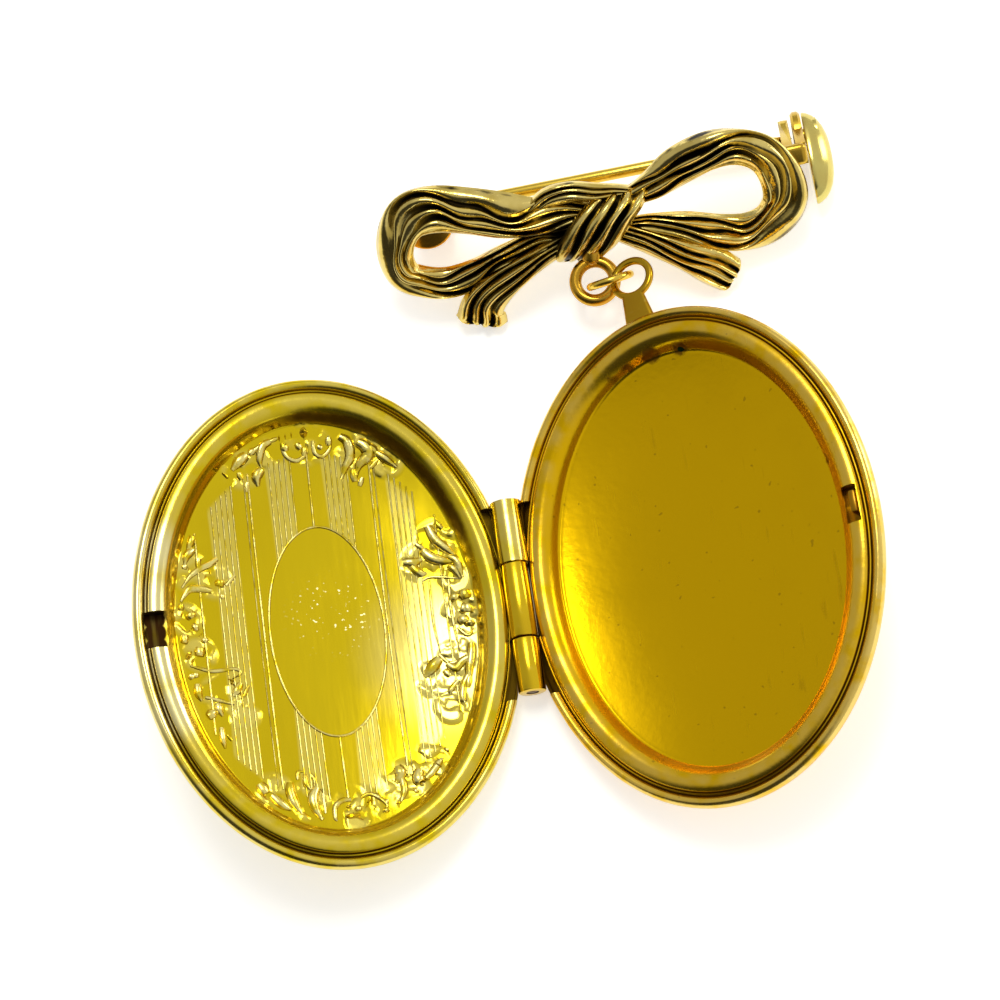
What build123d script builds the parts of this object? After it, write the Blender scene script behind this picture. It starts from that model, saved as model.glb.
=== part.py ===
from build123d import *
import math
import os

# A locket brooch lying open on a table, in millimetres.
# The hinge lies along Y, the pin along X, and the table is the plane Z = 0.
# A half is drawn with its parting plane level and its hinge on the Y axis, then turned up by RAISE.

# Locket halves: one oval outline, drawn inwards from its outer edge
LOCKET_LENGTH = 39.8
LOCKET_WIDTH = 30.4
HINGE_OVERLAP = 0.12        # how far the oval reaches past the hinge axis
RAISE = 19.0                # each open half stands up from the table by this angle
PARTING_GAP = 0.05          # highest metal of a half lies this far under the parting plane
BEAD_WIDTH = 0.9
BEAD_HEIGHT = 0.42
LEDGE_WIDTH = 1.55          # the rolled ledge inside the bead
WALL_RUN = 0.75             # how far the sloping wall leads in
COVER_FLOOR = 1.8           # depth of the floor's edge under the parting plane
BACK_FLOOR = 1.5
CROWN_DEPTH = 3.6           # depth of the outer dome at its middle
SIDE_DEPTH = 2.45           # depth where the side turns into the dome
SIDE_ROUND = 1.6            # how far the round side leads in
SHEET = 0.55                # metal at the middle of the dome

# Hinge of three knuckles on one pin
KNUCKLE_RADIUS = 1.1
HINGE_MIDDLE = -0.2         # along Y
COVER_KNUCKLE = 6.1
BACK_KNUCKLE_NEAR = 4.3     # the one on the pin's far end from the bow
BACK_KNUCKLE_FAR = 4.0      # the one towards the bow
KNUCKLE_GAP = 0.12
HINGE_PIN_RADIUS = 0.45
RUNNING_FIT = 0.05
NOTCH_NEAR = 0.43           # rim that is cut away beyond the knuckles, at the end far from the bow
NOTCH_FAR = 0.73            # and at the end near the bow
NOTCH_DEPTH = 0.6
SWEEP_CLEARANCE = 0.15      # room round the other half's knuckle

# Clasp: a tongue on the back that enters a slot in the cover
SLOT_WIDTH = 2.9
SLOT_DEPTH = 1.3
CLASP_MIDDLE = 0.15         # along Y
TONGUE_WIDTH = 1.7
TONGUE_THICKNESS = 0.5
TONGUE_RISE = 0.45          # above the parting plane
TONGUE_INSET = 1.7
CLASP_NOTCH_RUN = 1.25

# Bail on the back
BAIL_THICKNESS = 0.54
BAIL_TOP = 0.38             # its upper face under the parting plane
BAIL_RADIUS = 1.88
BAIL_HOLE_RADIUS = 1.28
BAIL_OFFSET = -1.69         # eye's middle from the middle of the half, across
BAIL_REACH = 3.75           # eye's middle beyond the rim, before the plate is bent
BAIL_BEND = 9.3             # bent down towards the bow by this
BAIL_BEND_INSET = 0.3       # the bend lies this far inside the rim
BAIL_NECK = 1.9
BAIL_ROOT = 2.7             # width where it meets the rim
BAIL_ROOT_SHIFT = 0.5       # the root stands nearer the middle than the eye

# Jump ring
JUMP_RADIUS = 1.68          # to the middle of the wire
JUMP_WIRE = 0.33            # radius of the wire
JUMP_TURN = 8.0             # heading of its plane about Z
JUMP_LEAN = 22.4
JUMP_SHIFT = (-1.79, 0.67, -1.17)   # its middle, from the middle of the bail's eye

# Bow: its own frame has U along the pin, V up the bow and W out of its face
BOW_TILT = 35.0
KNOT_SHIFT = (0.305, 5.033, 1.113)   # knot's middle from the jump ring's; the tails touch the table
LEFT_REACH = 17.1           # loop's middle line from the knot
RIGHT_REACH = 14.6
LOOP_RISE = 3.5
TAIL_REACH = 11.5
TAIL_DROP = 7.0
RIBBON_WIDTH = 3.3
RIBBON_THICKNESS = 1.5
LOOP_LIFT = 1.0             # how far the loops bulge out of the bow's plane
KNOT_WIDTH = 4.6
KNOT_LENGTH = 7.8
KNOT_LIFT = 1.5
KNOT_SLANT = 47.0           # the wraps lean to the right by this
FOLD_WIDTH = 1.7
RIDGES = 2

# Ring soldered under the knot
DROP_RING_RADIUS = 1.6
DROP_RING_WIRE = 0.5
DROP_RING_TILT = 9.5        # its plane to the table
DROP_RING_ROOT = (-1.55, -3.24, 0.75)   # the top of its wire's middle line
COLLAR_RADIUS = 0.8
COLLAR_END = (-1.2, -1.6, 0.3)      # inside the knot

# Pin, with its joint at the left and its catch at the right
PIN_RISE = 2.4              # above the knot's middle, in V
PIN_DEPTH = 5.1             # behind the bow's plane
PIN_WIRE = 0.5
PIN_ROOT_U = -14.2
PIN_TIP_U = 16.05
PIN_POINT = 3.0             # length of the tapered point
PIN_EYE_RADIUS = 1.15
PIN_EYE_THICKNESS = 1.0
RIVET_RADIUS = 0.4
JOINT_CHEEK = 0.7
JOINT_SIDE_GAP = 0.12
MOUNT_THICKNESS = 1.1       # base plates of joint and catch
MOUNT_FACE = 0.3            # depth of the base plates' upper face
PAD_TOP = 0.5               # the solder pads reach this far up into the ribbons
JOINT_BASE_RADIUS = 2.3
JOINT_PAD = (2.4, 1.6)
JOINT_PAD_RISE = 1.0        # above the pin, in V
CATCH_CHEEK = 0.8
CATCH_HOOK_U = 15.15
CATCH_HOOK_RADIUS = 1.57
CATCH_END_U = 16.2
CATCH_SLOT = 0.1            # clearance each side of the pin
CATCH_BASE_LENGTH = 3.8
CATCH_BASE_WIDTH = 1.95
CATCH_BASE_TOP = 0.5        # its upper edge above the pin, in V
CATCH_PAD = (2.0, 2.0)
CATCH_PAD_U = 14.0
CATCH_PAD_RISE = -0.5       # from the pin, in V

# Lever of the catch: a hub on a stub axle and a domed thumb piece
STUB_RADIUS = 0.6
STUB_LENGTH = 0.85
HUB_RADIUS = 1.35
HUB_GAP = 0.12
HUB_THICKNESS = 1.1
THUMB_HALF_LENGTH = 4.0
THUMB_HALF_WIDTH = 1.9
THUMB_HEIGHT = 1.9
THUMB_SHEET = 0.5
THUMB_SLANT = 33.0          # turns the thumb piece's low end towards the bow
THUMB_DROP = 2.0            # its middle from the axle, along its length

# Ribbon sections: along and rise are shares of the reach and the rise or drop, breadth of RIBBON_WIDTH,
# lift of LOOP_LIFT, and roll turns the section about the ribbon's own line, in degrees
LEFT_LOOP = (
    # along, rise, breadth, lift, roll
    (-0.10, 0.26, 0.60, 0.07, 5),
    (-0.19, 0.30, 0.74, 0.19, 4),
    (-0.33, 0.37, 0.98, 0.35, 5),
    (-0.46, 0.54, 1.14, 0.55, 10),
    (-0.61, 0.80, 1.14, 0.75, 14),
    (-0.76, 1.00, 1.16, 0.95, 18),
    (-0.88, 0.98, 1.18, 1.00, 22),
    (-0.96, 0.65, 1.12, 0.90, 26),
    (-1.00, 0.12, 1.04, 0.65, 28),
    (-0.98, -0.40, 0.98, 0.35, 24),
    (-0.90, -0.67, 0.88, 0.10, 16),
    (-0.78, -0.80, 0.80, -0.05, 8),
    (-0.63, -0.72, 0.78, -0.10, 0),
    (-0.49, -0.50, 0.72, -0.10, 0),
    (-0.33, -0.33, 0.60, -0.03, -3),
    (-0.13, -0.29, 0.46, 0.13, -6),
)
RIGHT_LOOP = (
    (0.11, 0.29, 0.46, -0.09, -5),
    (0.20, 0.40, 0.56, 0.08, -3),
    (0.32, 0.58, 0.78, 0.30, -5),
    (0.46, 0.88, 0.96, 0.55, -10),
    (0.64, 1.10, 0.96, 0.85, -16),
    (0.80, 1.06, 0.90, 1.00, -22),
    (0.93, 0.76, 0.98, 0.90, -26),
    (1.00, 0.20, 1.14, 0.65, -26),
    (1.00, -0.40, 1.20, 0.35, -20),
    (0.91, -0.82, 1.06, 0.10, -12),
    (0.78, -0.97, 0.97, -0.05, -6),
    (0.63, -0.87, 0.90, -0.10, 0),
    (0.44, -0.57, 0.74, -0.10, 0),
    (0.25, -0.38, 0.56, -0.11, 3),
    (0.09, -0.30, 0.44, -0.19, 7),
)
LEFT_TAIL = (
    # along is a share of TAIL_REACH and rise of TAIL_DROP
    (-0.12, -0.12, 0.45, 0.41, 6),
    (-0.38, -0.24, 0.52, 0.47, 3),
    (-0.62, -0.40, 0.66, 0.50, 0),
    (-0.83, -0.58, 0.86, 0.35, 0),
    (-0.95, -0.74, 1.08, 0.05, 0),
    (-0.99, -0.91, 1.30, -0.40, 0),
)
RIGHT_TAIL = (
    (0.08, -0.17, 0.48, 0.26, -7),
    (0.30, -0.38, 0.60, 0.52, -4),
    (0.52, -0.59, 0.80, 0.55, 0),
    (0.69, -0.79, 0.98, 0.25, 0),
    (0.80, -0.95, 0.92, -0.22, 0),
)
FOLD = (
    # along and rise are shares of KNOT_LENGTH, breadth of FOLD_WIDTH, lift of KNOT_LIFT
    (-0.72, 0.24, 0.60, 0.10, 0),
    (-0.51, 0.34, 0.95, 0.50, 0),
    (-0.26, 0.35, 1.00, 0.62, 0),
    (-0.03, 0.29, 0.80, 0.43, 5),
)
KNOT = (
    # along and rise are shares of half the knot's slanted length, breadth of KNOT_WIDTH, lift of KNOT_LIFT
    (-1.00, -1.00, 0.80, -0.35, 0),
    (-0.86, -0.86, 0.92, 0.45, 0),
    (-0.50, -0.50, 1.00, 0.88, 0),
    (0.00, 0.00, 1.00, 1.00, 0),
    (0.50, 0.50, 0.98, 0.88, 0),
    (0.84, 0.84, 0.90, 0.40, 0),
    (0.96, 0.96, 0.76, -0.35, 0),
)

HALF_LENGTH = LOCKET_LENGTH / 2
HALF_WIDTH = LOCKET_WIDTH / 2
OVAL_X = HALF_WIDTH - HINGE_OVERLAP
RAISE_SIN = math.sin(math.radians(RAISE))
RAISE_COS = math.cos(math.radians(RAISE))
TILT_SIN = math.sin(math.radians(BOW_TILT))
TILT_COS = math.cos(math.radians(BOW_TILT))
RIM_INSET = BEAD_WIDTH + LEDGE_WIDTH
FLOOR_INSET = RIM_INSET + WALL_RUN

# Rows of a half's outer side: inset from the oval and depth under the parting plane
OUTER_SIDE = (
    (SIDE_ROUND, SIDE_DEPTH),
    (0.52 * SIDE_ROUND, 0.86 * SIDE_DEPTH),
    (0.18 * SIDE_ROUND, 0.64 * SIDE_DEPTH),
    (0.04 * SIDE_ROUND, 0.42 * SIDE_DEPTH),
)

# The side's lowest corner, next to the hinge, stands on the table
HINGE_Z = max(depth * RAISE_COS - (inset - HINGE_OVERLAP) * RAISE_SIN for inset, depth in OUTER_SIDE)


def in_back_frame(x, y, z):
    """A place of the level back half, after it is raised."""
    return Vector(x * RAISE_COS - z * RAISE_SIN, y, HINGE_Z + x * RAISE_SIN + z * RAISE_COS)


def bail_eye():
    """Middle of the bail's eye, after its plate is bent and the half is raised."""
    arm = BAIL_REACH + BAIL_BEND_INSET
    eye_y = HALF_LENGTH - BAIL_BEND_INSET + arm * math.cos(math.radians(BAIL_BEND))
    eye_z = -BAIL_TOP - BAIL_THICKNESS / 2 - arm * math.sin(math.radians(BAIL_BEND))
    return in_back_frame(OVAL_X + BAIL_OFFSET, eye_y, eye_z)


# The jump ring hangs in the bail's eye, and the bow's knot has its place from the ring
JUMP_MIDDLE = bail_eye() + Vector(*JUMP_SHIFT)
KNOT_MIDDLE = JUMP_MIDDLE + Vector(*KNOT_SHIFT)
KNOT_X, KNOT_Y, KNOT_Z = KNOT_MIDDLE.X, KNOT_MIDDLE.Y, KNOT_MIDDLE.Z

# The joint and the end of the catch stand on the table
PIN_Z = KNOT_Z + PIN_RISE * TILT_SIN - PIN_DEPTH * TILT_COS
JOINT_HALF = PIN_EYE_THICKNESS / 2 + JOINT_SIDE_GAP + JOINT_CHEEK
JOINT_RADIUS = (KNOT_Z + (PIN_RISE - JOINT_HALF) * TILT_SIN) / TILT_COS - PIN_DEPTH


def oval(inset, depth, share=1.0):
    """An oval ring of the half, drawn in from the outline by inset, or shrunk to a share of that."""
    place = Plane(origin=(OVAL_X, 0, -depth))
    return Wire.make_ellipse((HALF_WIDTH - inset) * share, (HALF_LENGTH - inset) * share, place)


def dome(inset, edge_depth, middle_depth, shares):
    """Rings of a dished face, from its edge to a small flat at its middle."""
    return [oval(inset, edge_depth + (middle_depth - edge_depth) * (1 - share**2), share) for share in shares]


def rounded_rim(start, width, height, base):
    """Rings over a half-round rim that starts at an inset and is width wide."""
    rings = []
    for share, level in ((0.0, 0.0), (0.12, 0.6), (0.36, 1.0), (0.64, 1.0), (0.88, 0.6)):
        rings.append(oval(start + width * share, PARTING_GAP + base - height * level))
    return rings


def locket_shell(floor_depth):
    """A half as one lofted shell: dome, side, bead, ledge, wall and floor."""
    shares = (1.0, 0.9, 0.7, 0.4, 0.08)
    rings = dome(SIDE_ROUND, SIDE_DEPTH, CROWN_DEPTH, shares)[::-1]
    rings += [oval(inset, depth) for inset, depth in OUTER_SIDE[1:]]
    rings += rounded_rim(0, BEAD_WIDTH, BEAD_HEIGHT, BEAD_HEIGHT)
    rings += rounded_rim(BEAD_WIDTH, LEDGE_WIDTH, BEAD_HEIGHT, BEAD_HEIGHT)
    rings.append(oval(RIM_INSET, PARTING_GAP + 1.3 * BEAD_HEIGHT))
    rings += dome(FLOOR_INSET, floor_depth, CROWN_DEPTH - SHEET, shares)
    return Solid.make_loft(rings, ruled=True)


def along_hinge(radius, low, high):
    """A round bar on the hinge axis between two places along Y."""
    bar = Cylinder(radius, high - low, rotation=(90, 0, 0))
    return Pos(0, (low + high) / 2, 0) * bar


COVER_LOW = HINGE_MIDDLE - COVER_KNUCKLE / 2
COVER_HIGH = HINGE_MIDDLE + COVER_KNUCKLE / 2
BACK_LOW = COVER_LOW - KNUCKLE_GAP - BACK_KNUCKLE_NEAR
BACK_HIGH = COVER_HIGH + KNUCKLE_GAP + BACK_KNUCKLE_FAR


def with_hinge(shell, own, others):
    """Cuts the rim away round the hinge and adds this half's knuckles."""
    notch_low = BACK_LOW - NOTCH_NEAR
    notch_size = (2 * KNUCKLE_RADIUS, BACK_HIGH + NOTCH_FAR - notch_low, 3 * NOTCH_DEPTH)
    notch = Box(*notch_size, align=(Align.MAX, Align.MIN, Align.MIN))
    notch = Pos(KNUCKLE_RADIUS - SWEEP_CLEARANCE, notch_low, -NOTCH_DEPTH) * notch
    outside = Ellipse(HALF_WIDTH + BEAD_WIDTH, HALF_LENGTH + BEAD_WIDTH)
    inside = Ellipse(HALF_WIDTH - BEAD_WIDTH, HALF_LENGTH - BEAD_WIDTH)
    bead = Pos(OVAL_X, 0, -NOTCH_DEPTH) * extrude(outside - inside, 3 * NOTCH_DEPTH)
    shell = shell - notch - (Pos(2 * BEAD_WIDTH, 0, 0) * notch & bead)
    for low, high in others:
        room = along_hinge(KNUCKLE_RADIUS + SWEEP_CLEARANCE, low - KNUCKLE_GAP, high + KNUCKLE_GAP)
        shell = shell - room
    for low, high in own:
        shell = shell + along_hinge(KNUCKLE_RADIUS, low, high)
    bore = along_hinge(HINGE_PIN_RADIUS + RUNNING_FIT, -HALF_LENGTH, HALF_LENGTH)
    return shell - bore


COVER_SPANS = [(COVER_LOW, COVER_HIGH)]
BACK_SPANS = [(BACK_LOW, COVER_LOW - KNUCKLE_GAP), (COVER_HIGH + KNUCKLE_GAP, BACK_HIGH)]


def far_side(inset):
    """X of a place this far in from the half's free edge, opposite the hinge."""
    return OVAL_X + HALF_WIDTH - inset


def make_cover():
    half = with_hinge(locket_shell(COVER_FLOOR), COVER_SPANS, BACK_SPANS)
    slot = Box(LEDGE_WIDTH + WALL_RUN / 3, SLOT_WIDTH, 2 * SLOT_DEPTH, align=(Align.MAX, Align.CENTER, Align.CENTER))
    half = half - Pos(far_side(BEAD_WIDTH), CLASP_MIDDLE, 0) * slot
    return half.mirror(Plane.YZ)


def make_bail():
    """A flat eye on a neck that widens to the rim, drawn level and then sunk to its depth."""
    eye_x = OVAL_X + BAIL_OFFSET
    eye_y = HALF_LENGTH + BAIL_REACH
    root_x = eye_x + BAIL_ROOT_SHIFT
    root_y = HALF_LENGTH - BEAD_WIDTH
    shoulder_y = HALF_LENGTH + 0.25 * BAIL_REACH
    outline = Polygon(
        (root_x - BAIL_ROOT / 2, root_y),
        (root_x + BAIL_ROOT / 2, root_y),
        ((root_x + eye_x) / 2 + BAIL_NECK / 2, shoulder_y),
        (eye_x + BAIL_NECK / 2, eye_y),
        (eye_x - BAIL_NECK / 2, eye_y),
        ((root_x + eye_x) / 2 - BAIL_NECK / 2, shoulder_y),
        align=None,
    )
    plate = outline + Pos(eye_x, eye_y) * Circle(BAIL_RADIUS)
    plate = plate - Pos(eye_x, eye_y) * Circle(BAIL_HOLE_RADIUS)
    level = Pos(0, 0, -BAIL_THICKNESS / 2) * extrude(plate, BAIL_THICKNESS)
    bend_y = HALF_LENGTH - BAIL_BEND_INSET
    bent = Rot(-BAIL_BEND, 0, 0) * Pos(0, -bend_y, 0) * level
    return Pos(0, bend_y, -BAIL_TOP - BAIL_THICKNESS / 2) * bent


def make_back():
    half = with_hinge(locket_shell(BACK_FLOOR), BACK_SPANS, COVER_SPANS)
    notch = Box(CLASP_NOTCH_RUN, SLOT_WIDTH, 2 * SLOT_DEPTH, align=(Align.MAX, Align.CENTER, Align.CENTER))
    half = half - Pos(far_side(TONGUE_INSET - TONGUE_THICKNESS / 2), CLASP_MIDDLE, 0) * notch
    rise = SLOT_DEPTH + TONGUE_RISE
    tongue = Box(TONGUE_THICKNESS, TONGUE_WIDTH, rise, align=(Align.CENTER, Align.CENTER, Align.MIN))
    half = half + Pos(far_side(TONGUE_INSET), CLASP_MIDDLE, -SLOT_DEPTH) * tongue
    return half + make_bail()


def raised(shape, side):
    """Turns a level half up about the hinge and sets the hinge at its height."""
    return Pos(0, 0, HINGE_Z) * Rot(0, -side * RAISE, 0) * shape


def make_jump_ring():
    ring = Rot(0, 0, JUMP_TURN) * Rot(90 + JUMP_LEAN, 0, 0) * Torus(JUMP_RADIUS, JUMP_WIRE)
    return Pos(*JUMP_MIDDLE) * ring


def ribbed_section(middle, across, front, half_width):
    """Corners of a ribbon's section: a ridged face and a plain back."""
    corners = []
    steps = 2 * RIDGES
    for step in range(steps + 1):
        share = 2 * step / steps - 1
        ridge = 0.5 if step % 2 else 0.24
        if step in (0, steps):
            ridge = 0.06
        corners.append(middle + across * (share * half_width) + front * (ridge * RIBBON_THICKNESS))
    for share, level in ((0.92, 0.3), (0.0, 0.42), (-0.92, 0.3)):
        corners.append(middle + across * (share * half_width) - front * (level * RIBBON_THICKNESS))
    return corners


def faceted(rings):
    """A closed body of triangles through rings that have equal numbers of corners."""
    faces = []
    count = len(rings[0])
    for low, high in zip(rings, rings[1:]):
        for index in range(count):
            after = (index + 1) % count
            faces.append(Face(Wire.make_polygon([low[index], low[after], high[after]])))
            faces.append(Face(Wire.make_polygon([low[index], high[after], high[index]])))
    for ring in (rings[0], rings[-1]):
        middle = sum(ring, Vector(0, 0, 0)) * (1 / count)
        for index in range(count):
            faces.append(Face(Wire.make_polygon([middle, ring[index], ring[(index + 1) % count]])))
    solid = Solid(Shell(faces))
    return solid if solid.volume > 0 else -solid


def ribbon(rows, reach, rise, width, lift):
    """A ribbed band through rows of along, rise, breadth, lift and roll."""
    places = [Vector(row[0] * reach, row[1] * rise, row[3] * lift) for row in rows]
    rings = []
    for index, row in enumerate(rows):
        before = places[max(index - 1, 0)]
        after = places[min(index + 1, len(rows) - 1)]
        line = (after - before).normalized()
        across = Vector(0, 0, 1).cross(line).normalized()
        across = across.rotate(Axis((0, 0, 0), (line.X, line.Y, line.Z)), row[4])
        rings.append(ribbed_section(places[index], across, line.cross(across), row[2] * width / 2))
    return faceted(rings)


def make_ribbons():
    """Two loops, two tails, the fold beside the knot and the knot's wraps, cast as one."""
    knot_u = KNOT_LENGTH / 2 * math.sin(math.radians(KNOT_SLANT))
    knot_v = KNOT_LENGTH / 2 * math.cos(math.radians(KNOT_SLANT))
    bands = [
        ribbon(RIGHT_LOOP, RIGHT_REACH, LOOP_RISE, RIBBON_WIDTH, LOOP_LIFT),
        ribbon(LEFT_TAIL, TAIL_REACH, TAIL_DROP, RIBBON_WIDTH, LOOP_LIFT),
        ribbon(RIGHT_TAIL, TAIL_REACH, TAIL_DROP, RIBBON_WIDTH, LOOP_LIFT),
        ribbon(FOLD, KNOT_LENGTH, KNOT_LENGTH, FOLD_WIDTH, KNOT_LIFT),
        ribbon(KNOT, knot_u, knot_v, KNOT_WIDTH, KNOT_LIFT),
    ]
    bow = ribbon(LEFT_LOOP, LEFT_REACH, LOOP_RISE, RIBBON_WIDTH, LOOP_LIFT)
    return bow.fuse(*bands)


def disc_on_u(radius, low, high, rise=PIN_RISE, depth=PIN_DEPTH):
    """A disc square to the pin, between two places along U."""
    return Pos((low + high) / 2, rise, -depth) * Cylinder(radius, high - low, rotation=(0, 90, 0))


def disc_on_v(radius, low, high):
    """A disc square to the rivet, between two places along V."""
    return Pos(PIN_ROOT_U, (low + high) / 2, -PIN_DEPTH) * Cylinder(radius, high - low, rotation=(90, 0, 0))


def solder_pad(size, u, v):
    """A block that joins a base plate to the ribbon above it."""
    sunk = MOUNT_THICKNESS / 2
    pad = Box(*size, sunk + MOUNT_FACE + PAD_TOP, align=(Align.CENTER, Align.CENTER, Align.MIN))
    return Pos(u, v, -MOUNT_FACE - sunk) * pad


def make_joint():
    """Round base plate, two round cheeks on legs and the rivet that carries the pin."""
    top = (Align.CENTER, Align.CENTER, Align.MAX)
    joint = Pos(PIN_ROOT_U, PIN_RISE, -MOUNT_FACE) * Cylinder(JOINT_BASE_RADIUS, MOUNT_THICKNESS, align=top)
    joint = joint + solder_pad(JOINT_PAD, PIN_ROOT_U, PIN_RISE + JOINT_PAD_RISE)
    for side in (-1, 1):
        inner = PIN_RISE + side * (JOINT_HALF - JOINT_CHEEK)
        outer = PIN_RISE + side * JOINT_HALF
        low, high = sorted((inner, outer))
        leg = Box(2 * JOINT_RADIUS, high - low, PIN_DEPTH - MOUNT_FACE, align=top)
        joint = joint + disc_on_v(JOINT_RADIUS, low, high)
        joint = joint + Pos(PIN_ROOT_U, (low + high) / 2, -MOUNT_FACE) * leg
    return joint + disc_on_v(RIVET_RADIUS, PIN_RISE - JOINT_HALF, PIN_RISE + JOINT_HALF)


def make_catch():
    """Base plate, slotted hook cheek, end cheek and the stub axle of the lever."""
    end_outer = CATCH_END_U + CATCH_CHEEK
    base_middle = end_outer - CATCH_BASE_LENGTH / 2
    base_high = PIN_RISE + CATCH_BASE_TOP
    top = (Align.CENTER, Align.MAX, Align.MAX)
    base = Box(CATCH_BASE_LENGTH, CATCH_BASE_WIDTH, MOUNT_THICKNESS, align=top)
    catch = Pos(base_middle, base_high, -MOUNT_FACE) * base
    catch = catch + solder_pad(CATCH_PAD, CATCH_PAD_U, PIN_RISE + CATCH_PAD_RISE)
    leg = Polygon(
        (PIN_RISE - CATCH_HOOK_RADIUS, -PIN_DEPTH),
        (PIN_RISE + CATCH_HOOK_RADIUS, -PIN_DEPTH),
        (base_high, -MOUNT_FACE - MOUNT_THICKNESS / 2),
        (base_high - CATCH_BASE_WIDTH, -MOUNT_FACE - MOUNT_THICKNESS / 2),
        align=None,
    )
    for low, radius in ((CATCH_HOOK_U, CATCH_HOOK_RADIUS), (CATCH_END_U, PIN_Z)):
        side = Plane(origin=(low, 0, 0), x_dir=(0, 1, 0), z_dir=(1, 0, 0))
        catch = catch + disc_on_u(radius, low, low + CATCH_CHEEK)
        catch = catch + extrude(side * leg, CATCH_CHEEK)
    slot_width = 2 * (PIN_WIRE + CATCH_SLOT)
    slot_length = 2 * CATCH_HOOK_RADIUS
    slot_align = (Align.CENTER, Align.CENTER, Align.MAX)
    hook_middle = CATCH_HOOK_U + CATCH_CHEEK / 2
    hook_span = CATCH_CHEEK + (CATCH_END_U - CATCH_HOOK_U - CATCH_CHEEK)
    slot = Box(hook_span, slot_width, slot_length, align=slot_align)
    catch = catch - Pos(hook_middle, PIN_RISE, -PIN_DEPTH) * slot
    catch = catch - disc_on_u(slot_width / 2, CATCH_HOOK_U - CATCH_CHEEK, CATCH_END_U)
    return catch + disc_on_u(STUB_RADIUS, end_outer, end_outer + STUB_LENGTH)


def make_drop_ring():
    """A ring and the thick collar that joins it to the knot."""
    lean = DROP_RING_TILT - BOW_TILT
    ring = Rot(lean, 0, 0) * Pos(0, -DROP_RING_RADIUS, 0) * Torus(DROP_RING_RADIUS, DROP_RING_WIRE)
    root = Vector(*DROP_RING_ROOT)
    line = Vector(*COLLAR_END) - root
    bottom = (Align.CENTER, Align.CENTER, Align.MIN)
    collar = Plane(origin=root, z_dir=line).location * Cylinder(COLLAR_RADIUS, line.length, align=bottom)
    return Pos(*root) * ring + collar


def make_pin_stem():
    """A wire with a tapered point, and a flat eye that turns on the rivet."""
    eye = disc_on_v(PIN_EYE_RADIUS, PIN_RISE - PIN_EYE_THICKNESS / 2, PIN_RISE + PIN_EYE_THICKNESS / 2)
    point_start = PIN_TIP_U - PIN_POINT
    stem = eye + disc_on_u(PIN_WIRE, PIN_ROOT_U, point_start)
    tip = Cone(PIN_WIRE, PIN_WIRE / 4, PIN_POINT, rotation=(0, 90, 0))
    stem = stem + Pos(point_start + PIN_POINT / 2, PIN_RISE, -PIN_DEPTH) * tip
    bore = disc_on_v(RIVET_RADIUS + RUNNING_FIT, PIN_RISE - JOINT_HALF, PIN_RISE + JOINT_HALF)
    return stem - bore


def make_catch_lever():
    """A hub that turns on the stub axle, under an oval domed thumb piece."""
    hub_low = CATCH_END_U + CATCH_CHEEK + HUB_GAP
    inner_share = 1 - THUMB_SHEET / THUMB_HALF_WIDTH
    outer_rows = ((0.10, 1.0), (0.5, 0.87), (0.8, 0.6), (0.95, 0.3), (1.0, 0.0))
    rings = [thumb_ring(share, THUMB_HEIGHT * level) for share, level in outer_rows]
    inner_height = THUMB_HEIGHT - THUMB_SHEET
    for share, level in reversed(outer_rows):
        rings.append(thumb_ring(share * inner_share, inner_height * level))
    shell = Solid.make_loft(rings, ruled=True)
    slanted = Rot(-THUMB_SLANT, 0, 0) * Pos(hub_low, -THUMB_DROP, 0) * shell
    shell = Pos(0, PIN_RISE, -PIN_DEPTH) * slanted
    hub = disc_on_u(HUB_RADIUS, hub_low, hub_low + HUB_THICKNESS)
    bore = disc_on_u(STUB_RADIUS + RUNNING_FIT, hub_low - HUB_GAP, hub_low + STUB_LENGTH)
    return shell + hub - bore


def thumb_ring(share, height):
    """A ring of the thumb piece, square to the pin, at a height along U."""
    place = Plane(origin=(height, 0, 0), x_dir=(0, 1, 0), z_dir=(1, 0, 0))
    return Wire.make_ellipse(THUMB_HALF_LENGTH * share, THUMB_HALF_WIDTH * share, place)


def on_bow(shape):
    """Sets a shape from the bow's own frame at its tilt and height."""
    plane = Plane(origin=KNOT_MIDDLE, x_dir=(1, 0, 0), z_dir=(0, -TILT_SIN, TILT_COS))
    return plane.location * shape


def make_nodes():
    bow = make_ribbons() + make_drop_ring() + make_joint() + make_catch()
    hinge_pin = along_hinge(HINGE_PIN_RADIUS, BACK_LOW, BACK_HIGH)
    nodes = {
        "locket_back": raised(make_back(), 1),
        "locket_cover": raised(make_cover(), -1),
        "hinge_pin": Pos(0, 0, HINGE_Z) * hinge_pin,
        "jump_ring": make_jump_ring(),
        "bow": on_bow(bow),
        "pin_stem": on_bow(make_pin_stem()),
        "catch_lever": on_bow(make_catch_lever()),
    }
    box = None
    for shape in nodes.values():
        own = shape.bounding_box()
        box = own if box is None else box.add(own)
    shift = Pos(-(box.min.X + box.max.X) / 2, -(box.min.Y + box.max.Y) / 2, -box.min.Z)
    return {name: shift * shape for name, shape in nodes.items()}, shift


if __name__ == "__main__":
    os.makedirs("parts", exist_ok=True)
    finished, moved_by = make_nodes()
    for name, shape in finished.items():
        export_step(shape, f"parts/{name}.step")
    print("hinge height", round(HINGE_Z, 3), "knot height", round(KNOT_Z, 3), "pin height", round(PIN_Z, 3))
    print("joint radius", round(JOINT_RADIUS, 3), "moved by", moved_by)
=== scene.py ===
import math

import bpy
import numpy as np
from mathutils import Matrix, Vector


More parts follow.
